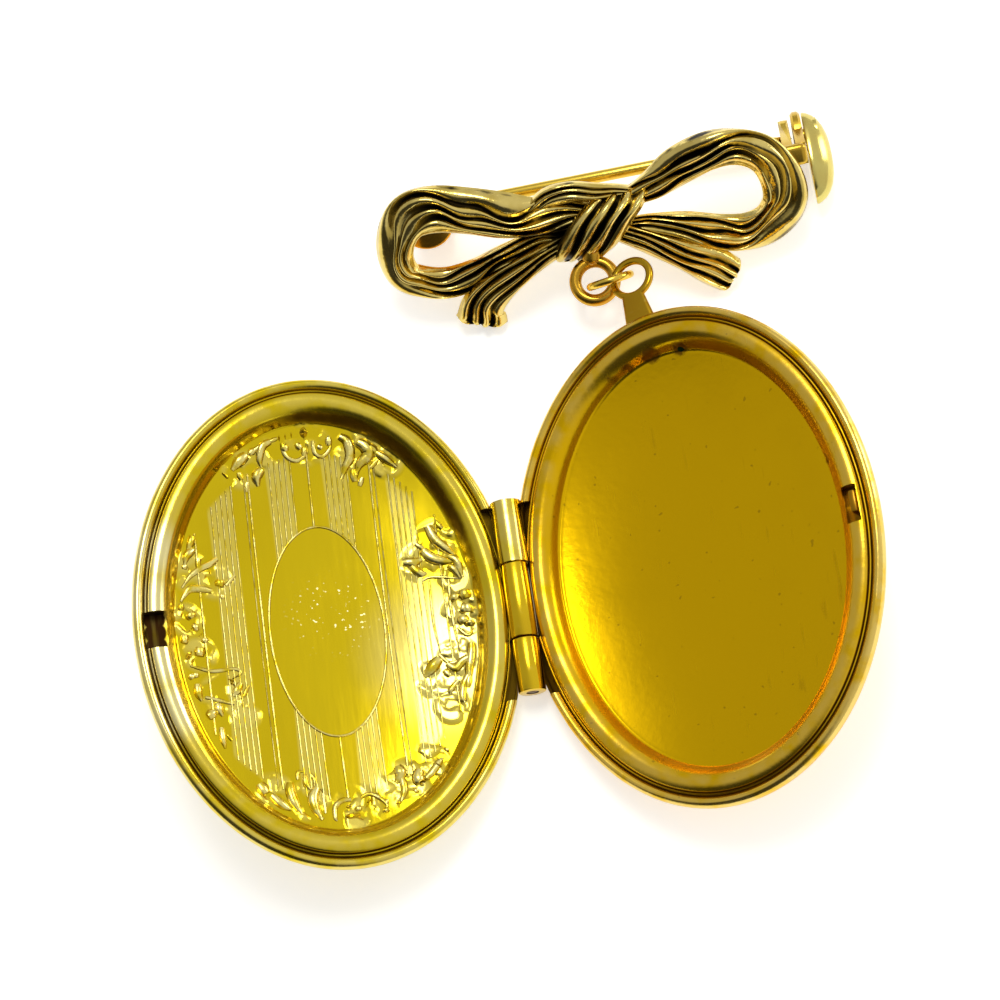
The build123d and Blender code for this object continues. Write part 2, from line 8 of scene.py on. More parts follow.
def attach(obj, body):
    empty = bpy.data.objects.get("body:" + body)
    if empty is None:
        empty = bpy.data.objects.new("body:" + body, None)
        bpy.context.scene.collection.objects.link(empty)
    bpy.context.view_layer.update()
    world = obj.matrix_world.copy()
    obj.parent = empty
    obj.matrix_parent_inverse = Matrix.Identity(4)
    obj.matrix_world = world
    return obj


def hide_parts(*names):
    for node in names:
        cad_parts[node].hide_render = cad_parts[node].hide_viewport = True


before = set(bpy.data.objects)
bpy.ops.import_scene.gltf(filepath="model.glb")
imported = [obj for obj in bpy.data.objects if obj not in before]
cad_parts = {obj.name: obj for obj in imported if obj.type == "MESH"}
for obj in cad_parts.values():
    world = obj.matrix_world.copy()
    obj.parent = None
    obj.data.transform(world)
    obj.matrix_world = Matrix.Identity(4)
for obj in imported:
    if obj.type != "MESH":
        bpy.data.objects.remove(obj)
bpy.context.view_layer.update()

# Camera
# A long lens looks down on the open brooch from its lower edge, a little from the right.
lens = bpy.data.cameras.new("viewpoint")
lens.sensor_width = 36.0
lens.lens = 94.68
lens.clip_start = 0.01
camera = bpy.data.objects.new("viewpoint", lens)
bpy.context.collection.objects.link(camera)
camera.matrix_world = Matrix((
    (0.9768, 0.1801, 0.1155, 0.02303),
    (-0.1375, 0.9420, -0.3061, -0.06416),
    (-0.1639, 0.2832, 0.9450, 0.20029),
    (0, 0, 0, 1),
))
bpy.context.scene.camera = camera

# Table and light
# A white table, a bright room that is darker low down on one side, and two soft lamps.
bpy.ops.object.select_all(action="DESELECT")
bpy.ops.mesh.primitive_plane_add(size=3.0, location=(0, 0, 0))
table = bpy.context.object
table.name = "table"


class Level:
    """A number that changes over a surface; sums and products on it add Math nodes."""

    def __init__(self, paint, socket):
        self.paint = paint
        self.socket = socket

    def maths(self, operation, *values, clamp=False):
        settings = {"operation": operation, "use_clamp": clamp}
        node = self.paint.node("ShaderNodeMath", settings, dict(enumerate(values)))
        return Level(self.paint, node.outputs[0])

    def __add__(self, other):
        return self.maths("ADD", self, other)

    __radd__ = __add__

    def __sub__(self, other):
        return self.maths("SUBTRACT", self, other)

    def __rsub__(self, other):
        return self.maths("SUBTRACT", other, self)

    def __mul__(self, other):
        return self.maths("MULTIPLY", self, other)

    __rmul__ = __mul__

    def __truediv__(self, other):
        return self.maths("DIVIDE", self, other)

    def power(self, other):
        return self.maths("POWER", self, other)

    def clamped(self):
        return self.maths("ADD", self, 0.0, clamp=True)

    def least(self, other):
        return self.maths("MINIMUM", self, other)

    def most(self, other):
        return self.maths("MAXIMUM", self, other)


class Paint:
    """A material or a world under making."""

    def __init__(self, owner):
        self.owner = owner
        owner.use_nodes = True
        owner.node_tree.nodes.clear()
        self.tree = owner.node_tree

    def node(self, kind, settings=None, sockets=None):
        """Adds a node: its settings come first, then the values or links of its sockets."""
        item = self.tree.nodes.new(kind)
        for key, value in (settings or {}).items():
            if key == "stops":
                ramp = item.color_ramp.elements
                while len(ramp) < len(value):
                    ramp.new(1.0)
                for stop, (place, colour) in zip(ramp, value):
                    stop.position = place
                    stop.color = (*colour, 1.0)
            else:
                setattr(item, key, value)
        for key, value in (sockets or {}).items():
            if isinstance(value, Level):
                self.tree.links.new(value.socket, item.inputs[key])
            elif isinstance(value, bpy.types.NodeSocket):
                self.tree.links.new(value, item.inputs[key])
            else:
                item.inputs[key].default_value = value
        return item

    def place(self):
        """Places on the piece, in metres."""
        return self.node("ShaderNodeTexCoord").outputs["Object"]

    def noise(self, size, detail=3.0, rough=0.5, where=None, stretch=None):
        """Smooth noise with a grain of this many metres."""
        where = where or self.place()
        if stretch:
            where = self.node("ShaderNodeMapping", None, {"Vector": where, "Scale": stretch}).outputs[0]
        sockets = {"Vector": where, "Scale": 1.0 / size, "Detail": detail, "Roughness": rough}
        return Level(self, self.node("ShaderNodeTexNoise", None, sockets).outputs[0])

    def step(self, value, low, high):
        """Rises smoothly from 0 at low to 1 at high."""
        settings = {"interpolation_type": "SMOOTHSTEP"}
        sockets = {"Value": value, "From Min": low, "From Max": high}
        return Level(self, self.node("ShaderNodeMapRange", settings, sockets).outputs[0])

    def near(self, spot, inner, outer):
        """1 within inner metres of a spot, falling to 0 at outer."""
        settings = {"operation": "DISTANCE"}
        gap = self.node("ShaderNodeVectorMath", settings, {0: self.place(), 1: spot}).outputs["Value"]
        return 1 - self.step(Level(self, gap), inner, outer)

    def mix(self, share, first, second, blend="MIX"):
        """Mixes two colours by a share."""
        item = self.tree.nodes.new("ShaderNodeMix")
        item.data_type = "RGBA"
        item.blend_type = blend
        for key, value in ((0, share), (6, first), (7, second)):
            if isinstance(value, Level):
                self.tree.links.new(value.socket, item.inputs[key])
            elif isinstance(value, bpy.types.NodeSocket):
                self.tree.links.new(value, item.inputs[key])
            elif key == 0:
                item.inputs[key].default_value = value
            else:
                item.inputs[key].default_value = (*value, 1.0)
        return item.outputs[2]

    def metal(self, colour, roughness, bump=None, depth=0.0, metallic=1.0):
        """Finishes a material as bare metal."""
        sockets = {"Metallic": metallic, "Base Color": colour, "Roughness": roughness}
        if not isinstance(colour, bpy.types.NodeSocket):
            sockets["Base Color"] = (*colour, 1.0)
        if bump is not None:
            relief = self.node("ShaderNodeBump", None, {"Height": bump, "Distance": depth})
            sockets["Normal"] = relief.outputs[0]
        shader = self.node("ShaderNodeBsdfPrincipled", None, sockets)
        self.node("ShaderNodeOutputMaterial", None, {"Surface": shader.outputs[0]})
        return self.owner


cloth = Paint(bpy.data.materials.new("table_white"))
sheet = {"Base Color": (0.93, 0.93, 0.93, 1), "Roughness": 0.6, "Emission Color": (1, 1, 1, 1), "Emission Strength": 0.5}
table_shader = cloth.node("ShaderNodeBsdfPrincipled", None, sheet)
cloth.node("ShaderNodeOutputMaterial", None, {"Surface": table_shader.outputs[0]})
table.data.materials.append(cloth.owner)

room = bpy.data.worlds.new("room")
bpy.context.scene.world = room
air = Paint(room)
turned_to = air.node("ShaderNodeTexCoord").outputs["Generated"]
parts = air.node("ShaderNodeSeparateXYZ", None, {0: turned_to})
height = Level(air, parts.outputs["Z"])
across = Level(air, parts.outputs["X"])
along = Level(air, parts.outputs["Y"])


def toward(side):
    """How squarely a direction looks to one side: the cosine of the angle between them."""
    aim = Vector(side).normalized()
    return across * aim.x + along * aim.y + height * aim.z


right_side = air.step(toward((0.87, 0.30, 0.39)), 0.0, 0.85)
back_glow = air.step(toward((0.02, 0.50, 0.865)), 0.90, 0.985)
dark_corner = air.step(toward((-0.45, -0.80, 0.38)), 0.58, 0.86)
bright = (0.50 + right_side * 0.24 + back_glow * 0.45) * (1 - dark_corner * 0.9)
shine = air.node("ShaderNodeBackground", None, {"Color": (1, 1, 1, 1), "Strength": bright})
air.node("ShaderNodeOutputWorld", None, {"Surface": shine.outputs[0]})


def soft_lamp(name, place, aim, size, power, tint=(1, 1, 1)):
    lamp = bpy.data.lights.new(name, "AREA")
    lamp.shape = "RECTANGLE"
    lamp.size, lamp.size_y = size
    lamp.energy = power
    lamp.color = tint
    holder = bpy.data.objects.new(name, lamp)
    bpy.context.collection.objects.link(holder)
    holder.location = place
    holder.rotation_euler = (Vector(aim) - Vector(place)).to_track_quat("-Z", "Y").to_euler()


soft_lamp("lamp_above", (0.024, 0.175, 0.424), (0, 0, 0), (0.14, 0.16), 0.55, (0.97, 1.0, 0.92))
soft_lamp("lamp_right", (0.40, 0.178, 0.10), (0, 0, 0), (0.14, 0.22), 0.5, (0.97, 1.0, 0.94))
bpy.context.scene.view_settings.view_transform = "Standard"
bpy.context.scene.view_settings.look = "None"

# Locket halves
# Each half is a sheet of brass stamped to a dish and rolled over at its rim, then gilt.
# Sizes are in millimetres with the parting plane level, and the half is raised at the end.
MM = 0.001
SHIFT = Vector((-0.857699, -8.19674, 0.0))
HINGE_HEIGHT = 1.835
HALF_WIDE, HALF_LONG = 15.2, 19.9
OVAL_X = 15.08
RAISE = math.radians(19)
ROUND = 160
FLOOR_INSET = 3.45
FLOOR_WIDE = HALF_WIDE - FLOOR_INSET
FLOOR_LONG = HALF_LONG - FLOOR_INSET
FLOOR_MIDDLE = 3.05
BOWL = 2.7
CROWN = 3.6
SIDE_LOW = 2.45
SIDE_ROUND = 1.6
COVER_FLOOR, BACK_FLOOR = 1.8, 1.5
RAISED = Matrix.Rotation(-RAISE, 4, "Y")
AT_HINGE = Matrix.Scale(MM, 4) @ Matrix.Translation(SHIFT + Vector((0, 0, HINGE_HEIGHT)))
BACK_PLACE = AT_HINGE @ RAISED
COVER_PLACE = AT_HINGE @ Matrix.Scale(-1, 4, (1, 0, 0)) @ RAISED


def trace(name, rows, sides, bore=False):
    """Draws a round or oval piece ring by ring: rows of half width, half length and height."""
    bpy.ops.object.select_all(action="DESELECT")
    bpy.ops.mesh.primitive_circle_add(vertices=sides, radius=1, fill_type="NOTHING", location=(0, 0, 0))
    piece = bpy.context.object
    piece.name = name
    bpy.ops.object.mode_set(mode="EDIT")
    bpy.ops.mesh.select_all(action="SELECT")
    wide, long, level = rows[0]
    bpy.ops.transform.resize(value=(wide, long, 1))
    bpy.ops.transform.translate(value=(0, 0, level))
    for next_wide, next_long, next_level in rows[1:]:
        step = {"value": (0, 0, next_level - level)}
        bpy.ops.mesh.extrude_edges_move(TRANSFORM_OT_translate=step)
        bpy.ops.transform.resize(value=(next_wide / wide, next_long / long, 1))
        wide, long, level = next_wide, next_long, next_level
    if bore:
        bpy.ops.mesh.select_all(action="DESELECT")
        bpy.ops.mesh.select_non_manifold(extend=False)
        bpy.ops.mesh.bridge_edge_loops()
    else:
        bpy.ops.mesh.edge_face_add()
        bpy.ops.mesh.select_all(action="DESELECT")
        bpy.ops.mesh.select_non_manifold(extend=False)
        bpy.ops.mesh.edge_face_add()
    bpy.ops.mesh.select_all(action="SELECT")
    bpy.ops.mesh.normals_make_consistent(inside=False)
    bpy.ops.object.mode_set(mode="OBJECT")
    return piece


def cut(piece, *tools, how="DIFFERENCE"):
    """Cuts tools out of a piece, or joins them to it, and removes the tools."""
    for tool in tools:
        joint = piece.modifiers.new("cut", "BOOLEAN")
        joint.operation = how
        joint.solver = "EXACT"
        joint.object = tool
        bpy.ops.object.select_all(action="DESELECT")
        bpy.context.view_layer.objects.active = piece
        bpy.ops.object.modifier_apply(modifier=joint.name)
        bpy.data.objects.remove(tool)
    return piece


def block(name, low, high, edge=0.0, steps=2):
    """A box between two corners, with rounded edges where an edge size is given."""
    bpy.ops.object.select_all(action="DESELECT")
    middle = [(a + b) / 2 for a, b in zip(low, high)]
    bpy.ops.mesh.primitive_cube_add(size=1, location=(0, 0, 0))
    piece = bpy.context.object
    piece.name = name
    bpy.ops.object.mode_set(mode="EDIT")
    bpy.ops.mesh.select_all(action="SELECT")
    bpy.ops.transform.resize(value=[b - a for a, b in zip(low, high)])
    if edge:
        bpy.ops.mesh.bevel(offset=edge, segments=steps, affect="EDGES")
        bpy.ops.mesh.select_all(action="SELECT")
    bpy.ops.transform.translate(value=middle)
    bpy.ops.object.mode_set(mode="OBJECT")
    return piece


def move(piece, where):
    """Moves a piece's mesh, and turns its faces out again where it was mirrored."""
    piece.data.transform(where)
    if where.determinant() < 0:
        piece.data.flip_normals()
    piece.data.update()
    return piece


def join(name, *pieces):
    """Joins several meshes into one piece."""
    bpy.ops.object.select_all(action="DESELECT")
    for piece in pieces:
        piece.select_set(True)
    bpy.context.view_layer.objects.active = pieces[0]
    bpy.ops.object.join()
    pieces[0].name = name
    return pieces[0]


def finish(piece, where, body, material, angle=40.0):
    """Puts a piece in its place, smooths it, and gives it its body and material."""
    move(piece, where)
    bpy.ops.object.select_all(action="DESELECT")
    piece.select_set(True)
    bpy.context.view_layer.objects.active = piece
    bpy.ops.object.shade_smooth_by_angle(angle=math.radians(angle))
    piece.data.materials.clear()
    piece.data.materials.append(material)
    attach(piece, body)
    return piece


def dish_depth(x, y, floor):
    """Depth of the dished floor at a place from the oval's middle."""
    share = min(math.hypot(x / FLOOR_WIDE, y / FLOOR_LONG), 1.0)
    return floor + (FLOOR_MIDDLE - floor) * (1 - share**BOWL)


def dome_depth(x, y):
    """Depth of the outer dome at a place from the oval's middle."""
    share = (x / (HALF_WIDE - SIDE_ROUND)) ** 2 + (y / (HALF_LONG - SIDE_ROUND)) ** 2
    return SIDE_LOW + (CROWN - SIDE_LOW) * (1 - min(share, 1.0))


def half_rows(floor):
    """A half's rings, from the dome's middle over the rolled rim to the floor's middle."""
    rows = []
    edge_wide, edge_long = HALF_WIDE - SIDE_ROUND, HALF_LONG - SIDE_ROUND
    for share in (0.03, 0.15, 0.3, 0.45, 0.6, 0.72, 0.82, 0.9, 0.96):
        depth = SIDE_LOW + (CROWN - SIDE_LOW) * (1 - share**2)
        rows.append((edge_wide * share, edge_long * share, -depth))
    profile = []
    for turn in range(0, 91, 10):
        angle = math.radians(turn)
        profile.append((SIDE_ROUND * (1 - math.sin(angle)), -0.55 - 1.9 * math.cos(angle)))
    for step in range(1, 10):
        share = step / 10
        profile.append((0.9 * share, -0.5 + 0.45 * math.sin(math.pi * share) ** 0.6))
    profile += [(0.90, -0.48), (0.94, -0.44), (0.98, -0.34), (1.06, -0.30), (1.13, -0.34), (1.17, -0.41)]
    profile += [(1.20, -0.30), (1.27, -0.205), (1.38, -0.145), (1.53, -0.095), (1.71, -0.06), (1.90, -0.05)]
    profile += [(2.08, -0.075), (2.25, -0.13), (2.42, -0.22), (2.58, -0.34), (2.73, -0.49), (2.87, -0.68)]
    drop = floor - 0.68
    profile += [(2.99, -0.68 - 0.24 * drop), (3.10, -0.68 - 0.50 * drop), (3.20, -0.68 - 0.76 * drop)]
    profile += [(3.30, -0.68 - 0.93 * drop), (3.40, -0.68 - 0.99 * drop)]
    rows += [(HALF_WIDE - inset, HALF_LONG - inset, level) for inset, level in profile]
    for share in (1.0, 0.985, 0.95, 0.9, 0.82, 0.72, 0.6, 0.45, 0.3, 0.15, 0.03):
        depth = floor + (FLOOR_MIDDLE - floor) * (1 - share**BOWL)
        rows.append((FLOOR_WIDE * share, FLOOR_LONG * share, -depth))
    return rows


HINGE_MIDDLE = -0.2
KNUCKLE_RADIUS = 1.1
SWEEP = 0.15
KNUCKLE_GAP = 0.12
COVER_LOW, COVER_HIGH = HINGE_MIDDLE - 3.05, HINGE_MIDDLE + 3.05
BACK_LOW, BACK_HIGH = COVER_LOW - 4.42, COVER_HIGH + 4.12


def along_hinge(name, radius, low, high, sides=40):
    """A plain bar on the hinge axis, as a cutter."""
    bar = trace(name, [(radius, radius, low), (radius, radius, high)], sides)
    return move(bar, Matrix.Rotation(math.radians(-90), 4, "X"))


def bead_cut(inner, outer, depth):
    """A cutter that follows the rim between two insets, along the hinge's stretch."""
    rows = [(HALF_WIDE - inner, HALF_LONG - inner, 1.0), (HALF_WIDE - outer, HALF_LONG - outer, 1.0)]
    rows += [(HALF_WIDE - outer, HALF_LONG - outer, -depth), (HALF_WIDE - inner, HALF_LONG - inner, -depth)]
    ring = move(trace("bead_cut", rows, ROUND, bore=True), Matrix.Translation((OVAL_X, 0, 0)))
    stretch = block("stretch", (-3, BACK_LOW - 0.43, -3), (3.2, BACK_HIGH + 0.73, 3))
    return cut(ring, stretch, how="INTERSECT")


def open_half(name, floor, others):
    """A half with the rim cut away round its hinge."""
    half = move(trace(name, half_rows(floor), ROUND), Matrix.Translation((OVAL_X, 0, 0)))
    notch_low = (-1.5, HINGE_MIDDLE - 7.9, -0.6)
    notch = block("notch", notch_low, (KNUCKLE_RADIUS - SWEEP, HINGE_MIDDLE + 7.9, 1.0))
    rooms = [along_hinge("room", KNUCKLE_RADIUS + SWEEP, low, high) for low, high in others]
    return cut(half, notch, bead_cut(0.95, -1.0, 0.66), bead_cut(0.85, 0.22, 1.15), *rooms)


def soil_and_shade(half, upper_wall_shade=0.0):
    """Marks at each point how dark it is in the grooves, painted shade in the hinge gap and on the upper wall, and how
    pale the bead's wear and a painted highlight on the roll make it.
    """
    spots = np.array([point.co for point in half.data.vertices])
    x, y, z = spots[:, 0] - OVAL_X, spots[:, 1], spots[:, 2]
    low, high = np.full(len(x), -0.3), np.full(len(x), HALF_WIDE - 1.0)
    for _ in range(30):
        inset = (low + high) / 2
        outside = (x / (HALF_WIDE - inset)) ** 2 + (y / (HALF_LONG - inset)) ** 2 > 1
        low, high = np.where(outside, low, inset), np.where(outside, inset, high)
    front = z > -0.85
    # Darker in the two grooves of the rim.
    grime = np.maximum(np.exp(-((inset - 0.94) / 0.05) ** 2), np.exp(-((inset - 1.18) / 0.05) ** 2)) * front
    # Painted shade in the gap beside the hinge knuckles, where the rim is cut away.
    hinge_painted_light = (np.abs(y - HINGE_MIDDLE) < 8.2) & (x < -HALF_WIDE + 3) & (inset < 1.0) & (z < -0.5) & (z > -1.3)
    grime = np.maximum(grime, hinge_painted_light * 0.8)
    # Painted shade and dark reflection on the upper wall on the hinge side; the second argument sets its strength.
    turn = np.degrees(np.arctan2(y / HALF_LONG, -x / HALF_WIDE))
    wall = np.exp(-((inset - 2.95) / 0.42) ** 2) * (z > -2.4) * np.interp(turn, (2, 25, 88, 112), (0, 1, 1, 0))
    grime = np.maximum(grime, upper_wall_shade * wall)
    worn = np.clip(1.1 - inset, 0, 1) * (z > -0.6)
    # A painted highlight along the crest of the roll, added to the wear of the bead.
    worn = np.maximum(worn, 0.45 * np.exp(-((inset - 1.9) / 0.6) ** 2) * front)
    for name, values in (("grime", grime), ("worn", worn)):
        half.data.attributes.new(name, "FLOAT", "POINT").data.foreach_set("value", values)


CLASP_MIDDLE = 0.15
CLASP_WIDTH = 2.9
FREE_EDGE = OVAL_X + HALF_WIDE

cover = open_half("cover_shell", COVER_FLOOR, [(BACK_LOW - 1, COVER_LOW), (COVER_HIGH, BACK_HIGH + 1)])
slot_low = (FREE_EDGE - 2.65, CLASP_MIDDLE - CLASP_WIDTH / 2, -1.3)
slot_high = (FREE_EDGE - 0.9, CLASP_MIDDLE + CLASP_WIDTH / 2, 1.0)
cover = cut(cover, block("clasp_slot", slot_low, slot_high))

back = open_half("back_shell", BACK_FLOOR, [(COVER_LOW - KNUCKLE_GAP, COVER_HIGH + KNUCKLE_GAP)])
notch_low = (FREE_EDGE - 2.7, CLASP_MIDDLE - CLASP_WIDTH / 2, -1.3)
notch_high = (FREE_EDGE - 1.45, CLASP_MIDDLE + CLASP_WIDTH / 2, 1.0)
back = cut(back, block("clasp_notch", notch_low, notch_high))

# Gilt of the locket
# Bright gold plating with wear at the rims, a satin floor in the back, dark spots of age, and painted highlights and
# painted shade in the colour of the gilt.
GOLD = (0.80, 0.54, 0.018)
PALE_GOLD = (0.90, 0.74, 0.24)
DEEP_GOLD = (0.46, 0.23, 0.010)


def bright_gold(name, colour=GOLD, rough=0.10, tarnish=0.2):
    paint = Paint(bpy.data.materials.new(name))
    clouds = paint.step(paint.noise(0.0035, 4.0), 0.35, 0.7)
    fine = paint.noise(0.0004, 3.0)
    shade = paint.mix(clouds * tarnish, colour, DEEP_GOLD)
    shade = paint.mix(paint.step(fine, 0.6, 0.8) * 0.15, shade, PALE_GOLD)
    ripple = paint.noise(0.0022, 2.0)
    return paint.metal(shade, rough + clouds * 0.06 + fine * 0.04, ripple * 0.7 + fine * 0.05, 0.00003)


def aged_and_shaded(paint, colour):
    """Pales a colour with the bead's wear and a painted highlight on the roll, and darkens it in the grooves and with
    painted shade.
    """
    grime, worn = [
        Level(paint, paint.node("ShaderNodeAttribute", {"attribute_name": name}).outputs["Fac"]) for name in ("grime", "worn")
    ]
    patches = paint.noise(0.0018, 3.0)
    # Darker in the grooves, and painted shade in the hinge gap, on the upper wall and at the feet of raised lines.
    grime = paint.step(grime * (0.6 + patches), 0.2, 0.75)
    # Paler with the bead's wear and with a painted highlight on the roll.
    colour = paint.mix(worn * paint.step(patches, 0.3, 0.6) * 0.4, colour, (0.92, 0.80, 0.38))
    return paint.mix(grime * 0.9, colour, (0.07, 0.028, 0.004)), grime


def floor_level(across_at, along_at):
    return dish_depth(across_at, along_at, COVER_FLOOR)


ORNAMENT_SPOTS = (
    # across, along and reach of each patch of pressed ornament, in millimetres
    (-5.3, 13.2, 1.9), (-3.4, 14.2, 1.7), (0.2, 15.0, 2.1), (4.2, 14.0, 2.2), (6.3, 13.0, 1.7),
    (-5.6, -12.9, 1.7), (-3.0, -14.0, 1.9), (0.6, -15.0, 2.2), (4.6, -13.4, 2.3), (6.6, -12.0, 1.9),
    (-10.2, 5.0, 1.9), (-8.4, 4.2, 1.7), (-10.9, 1.2, 1.6), (-10.2, -1.6, 1.7), (-8.8, -5.0, 2.1), (-7.2, -6.6, 1.6),
    (9.6, 6.0, 2.0), (8.2, 4.4, 1.9), (10.6, 2.6, 1.6), (10.9, -0.2, 2.0), (10.0, -3.6, 1.9), (8.2, -5.2, 2.0),
    (9.0, -7.6, 1.7),
)

CARTOUCHE = (0.1, -0.4)
CARTOUCHE_WIDE, CARTOUCHE_LONG = 4.55, 8.6
# Places across of the painted highlight streaks.
HIGHLIGHT_COLUMNS = (-7.21, -2.26, 2.26, 7.21)
STRIPES_REACH = 0.86

rim_gold = bright_gold("rim_gold")
tongue_gold = bright_gold("tongue_gold", (0.34, 0.17, 0.015), 0.25, 0.6)
wire_dark = bright_gold("wire_dark", (0.06, 0.03, 0.006), 0.3, 0.3)
cover_paint = Paint(bpy.data.materials.new("cover_gold"))
clouds = cover_paint.step(cover_paint.noise(0.004, 4.0), 0.35, 0.7)
grain = cover_paint.noise(0.0006, 2.0, stretch=(1.0, 0.12, 1.0))
panel = COVER_PLACE @ Vector((OVAL_X - 0.8, 1.0, -2.9))
specks = cover_paint.step(cover_paint.noise(0.00035, 1.0), 0.68, 0.74) * cover_paint.near(panel, 0.0015, 0.0045)
# Painted shade inside the clasp slot: near black patches where the slot is deep.
slot_shade = None
for along_at in (-0.95, 0.15, 1.25):
    spot = COVER_PLACE @ Vector((OVAL_X + HALF_WIDE - 1.75, along_at, -1.15))
    patch = cover_paint.near(spot, 0.00078, 0.00100)
    slot_shade = patch if slot_shade is None else slot_shade.most(patch)
cover_tone = cover_paint.mix(clouds * 0.25, (0.74, 0.545, 0.010), (0.56, 0.39, 0.006))
parts = cover_paint.node("ShaderNodeSeparateXYZ", None, {0: cover_paint.place()})
cover_x, cover_y = [Level(cover_paint, parts.outputs[axis]) for axis in "XY"]


def oval_share(middle, wide, long):
    """How far out a point of the cover lies in an oval: 0 at its middle and 1 on its line."""
    spot = COVER_PLACE @ Vector((OVAL_X - middle[0], middle[1], -2.9))
    share_x = (cover_x - spot.x) / (wide * MM * math.cos(RAISE))
    share_y = (cover_y - spot.y) / (long * MM)
    return share_x * share_x + share_y * share_y


# Painted highlight streaks: pale bands down the middle of each group of stripes.
highlight_columns = None
for across_at in HIGHLIGHT_COLUMNS:
    line_x = (COVER_PLACE @ Vector((OVAL_X - across_at, 0, -floor_level(across_at, 0)))).x
    gap = (cover_x - line_x).maths("ABSOLUTE", cover_x - line_x)
    band = 1 - cover_paint.step(gap, 0.00080, 0.00098)
    highlight_columns = band if highlight_columns is None else highlight_columns.most(band)
highlight_columns = highlight_columns * cover_paint.step(oval_share(CARTOUCHE, CARTOUCHE_WIDE, CARTOUCHE_LONG), 0.95, 1.0)
highlight_columns = highlight_columns * (1 - cover_paint.step(oval_share((0, 0), FLOOR_WIDE, STRIPES_REACH * FLOOR_LONG), 0.92, 1.0))
cover_tone = cover_paint.mix(highlight_columns * 0.42, cover_tone, (0.90, 0.76, 0.20))
# Painted highlights: pale patches on the roll along the cover's free side.
roll_highlight = None
for along_at in (-6.5, -2.5, 2.5, 6.5):
    edge_at = HALF_WIDE * math.sqrt(1 - (along_at / HALF_LONG) ** 2) - 1.4
    patch = cover_paint.near(COVER_PLACE @ Vector((OVAL_X + edge_at, along_at, 0)), 0.0006, 0.0032)
    roll_highlight = patch if roll_highlight is None else roll_highlight.most(patch)
cover_tone = cover_paint.mix(roll_highlight * 0.65, cover_tone, (0.94, 0.85, 0.50))
# A painted highlight: a pale patch on the floor on the hinge side, where glare whitens the gold.
hinge_painted_light = cover_paint.near(COVER_PLACE @ Vector((OVAL_X - 8.2, -3.0, -1.9)), 0.0015, 0.0075)
cover_tone = cover_paint.mix(hinge_painted_light * 0.32, cover_tone, (0.86, 0.80, 0.44))
cover_tone = cover_paint.mix(specks, cover_tone, (1.0, 0.95, 0.55))
# Paints the shade into the clasp slot.
cover_tone = cover_paint.mix(slot_shade * (0.8 + grain * 0.4), cover_tone, (0.03, 0.012, 0.003))
pattern = None
for across_at, along_at, reach in ORNAMENT_SPOTS:
    bed = floor_level(across_at, along_at)
    spot = COVER_PLACE @ Vector((OVAL_X - across_at, along_at, -bed))
    patch = cover_paint.near(spot, reach * 0.6 * MM, reach * MM)
    pattern = patch if pattern is None else pattern.most(patch)
# Raised folds under the ornament, also painted pale as a highlight where they stand high.
folds_and_highlight = cover_paint.step(cover_paint.noise(0.0014, 1.5, 0.4), 0.40, 0.62) * pattern
cover_tone = cover_paint.mix(folds_and_highlight * 0.5, cover_tone, (0.90, 0.75, 0.20))
cover_tone, cover_grime_and_shade = aged_and_shaded(cover_paint, cover_tone)
cover_rough = 0.13 + cover_grime_and_shade * 0.3 + clouds * 0.06 + grain * 0.06 + specks * 0.3 + slot_shade * 0.3
cover_gold = cover_paint.metal(cover_tone, cover_rough, grain + folds_and_highlight * 11, 0.000012)

satin = Paint(bpy.data.materials.new("back_gold"))
clouds = satin.step(satin.noise(0.005, 4.0), 0.35, 0.75)
tone = satin.mix(clouds * 0.25, (0.80, 0.48, 0.003), (0.72, 0.42, 0.003))
# Brown stains on the back, and painted shade as brown along its upper wall and inside the clasp notch.
STAINS_AND_SHADE = (
    # from the oval's middle across and along, depth, and inner and outer size, in millimetres
    (-7.9, 13.9, 1.3, 0.2, 0.9), (-6.4, 15.2, 1.4, 0.4, 1.1), (-4.9, 16.1, 1.2, 0.4, 1.1), (-3.4, 16.7, 1.3, 0.5, 1.2),
    (-1.1, 17.2, 1.4, 0.7, 1.5), (1.4, 16.9, 1.4, 0.5, 1.2), (-13.2, -0.2, 1.2, 0.2, 1.0), (-12.9, -1.9, 1.3, 0.2, 0.8),
    (-13.4, -4.3, 1.2, 0.2, 0.7), (11.8, 4.4, 1.2, 0.2, 0.8), (-13.2, -6.7, 1.3, 0.2, 1.0),
    (13.1, 1.0, 1.6, 1.0, 1.3), (13.1, 0.1, 1.6, 1.0, 1.3), (13.1, -0.8, 1.6, 1.0, 1.3),
)
VERDIGRIS = (
    (-6.5, 15.25, 1.5, 0.30, 0.60), (1.45, 16.8, 1.5, 0.30, 0.60), (-13.4, -4.3, 1.3, 0.15, 0.4),
    (-13.2, -2.8, 1.3, 0.15, 0.35),
)
blotch_noise = satin.noise(0.0007, 4.0, 0.6)
brown_stain_and_shade, green = None, None
for stain_x, stain_y, depth, inner, outer in STAINS_AND_SHADE:
    spot = BACK_PLACE @ Vector((OVAL_X + stain_x, stain_y, -depth))
    patch = satin.near(spot, inner * MM, outer * MM)
    brown_stain_and_shade = patch if brown_stain_and_shade is None else brown_stain_and_shade.most(patch)
for stain_x, stain_y, depth, inner, outer in VERDIGRIS:
    spot = BACK_PLACE @ Vector((OVAL_X + stain_x, stain_y, -depth))
    patch = satin.near(spot, inner * MM, outer * MM)
    green = patch if green is None else green.most(patch)
pits = satin.step(satin.noise(0.0004, 0.0), 0.82, 0.84)
scratches = satin.step(satin.noise(0.0009, 3.0, stretch=(2.5, 0.16, 1.0)), 0.66, 0.74)
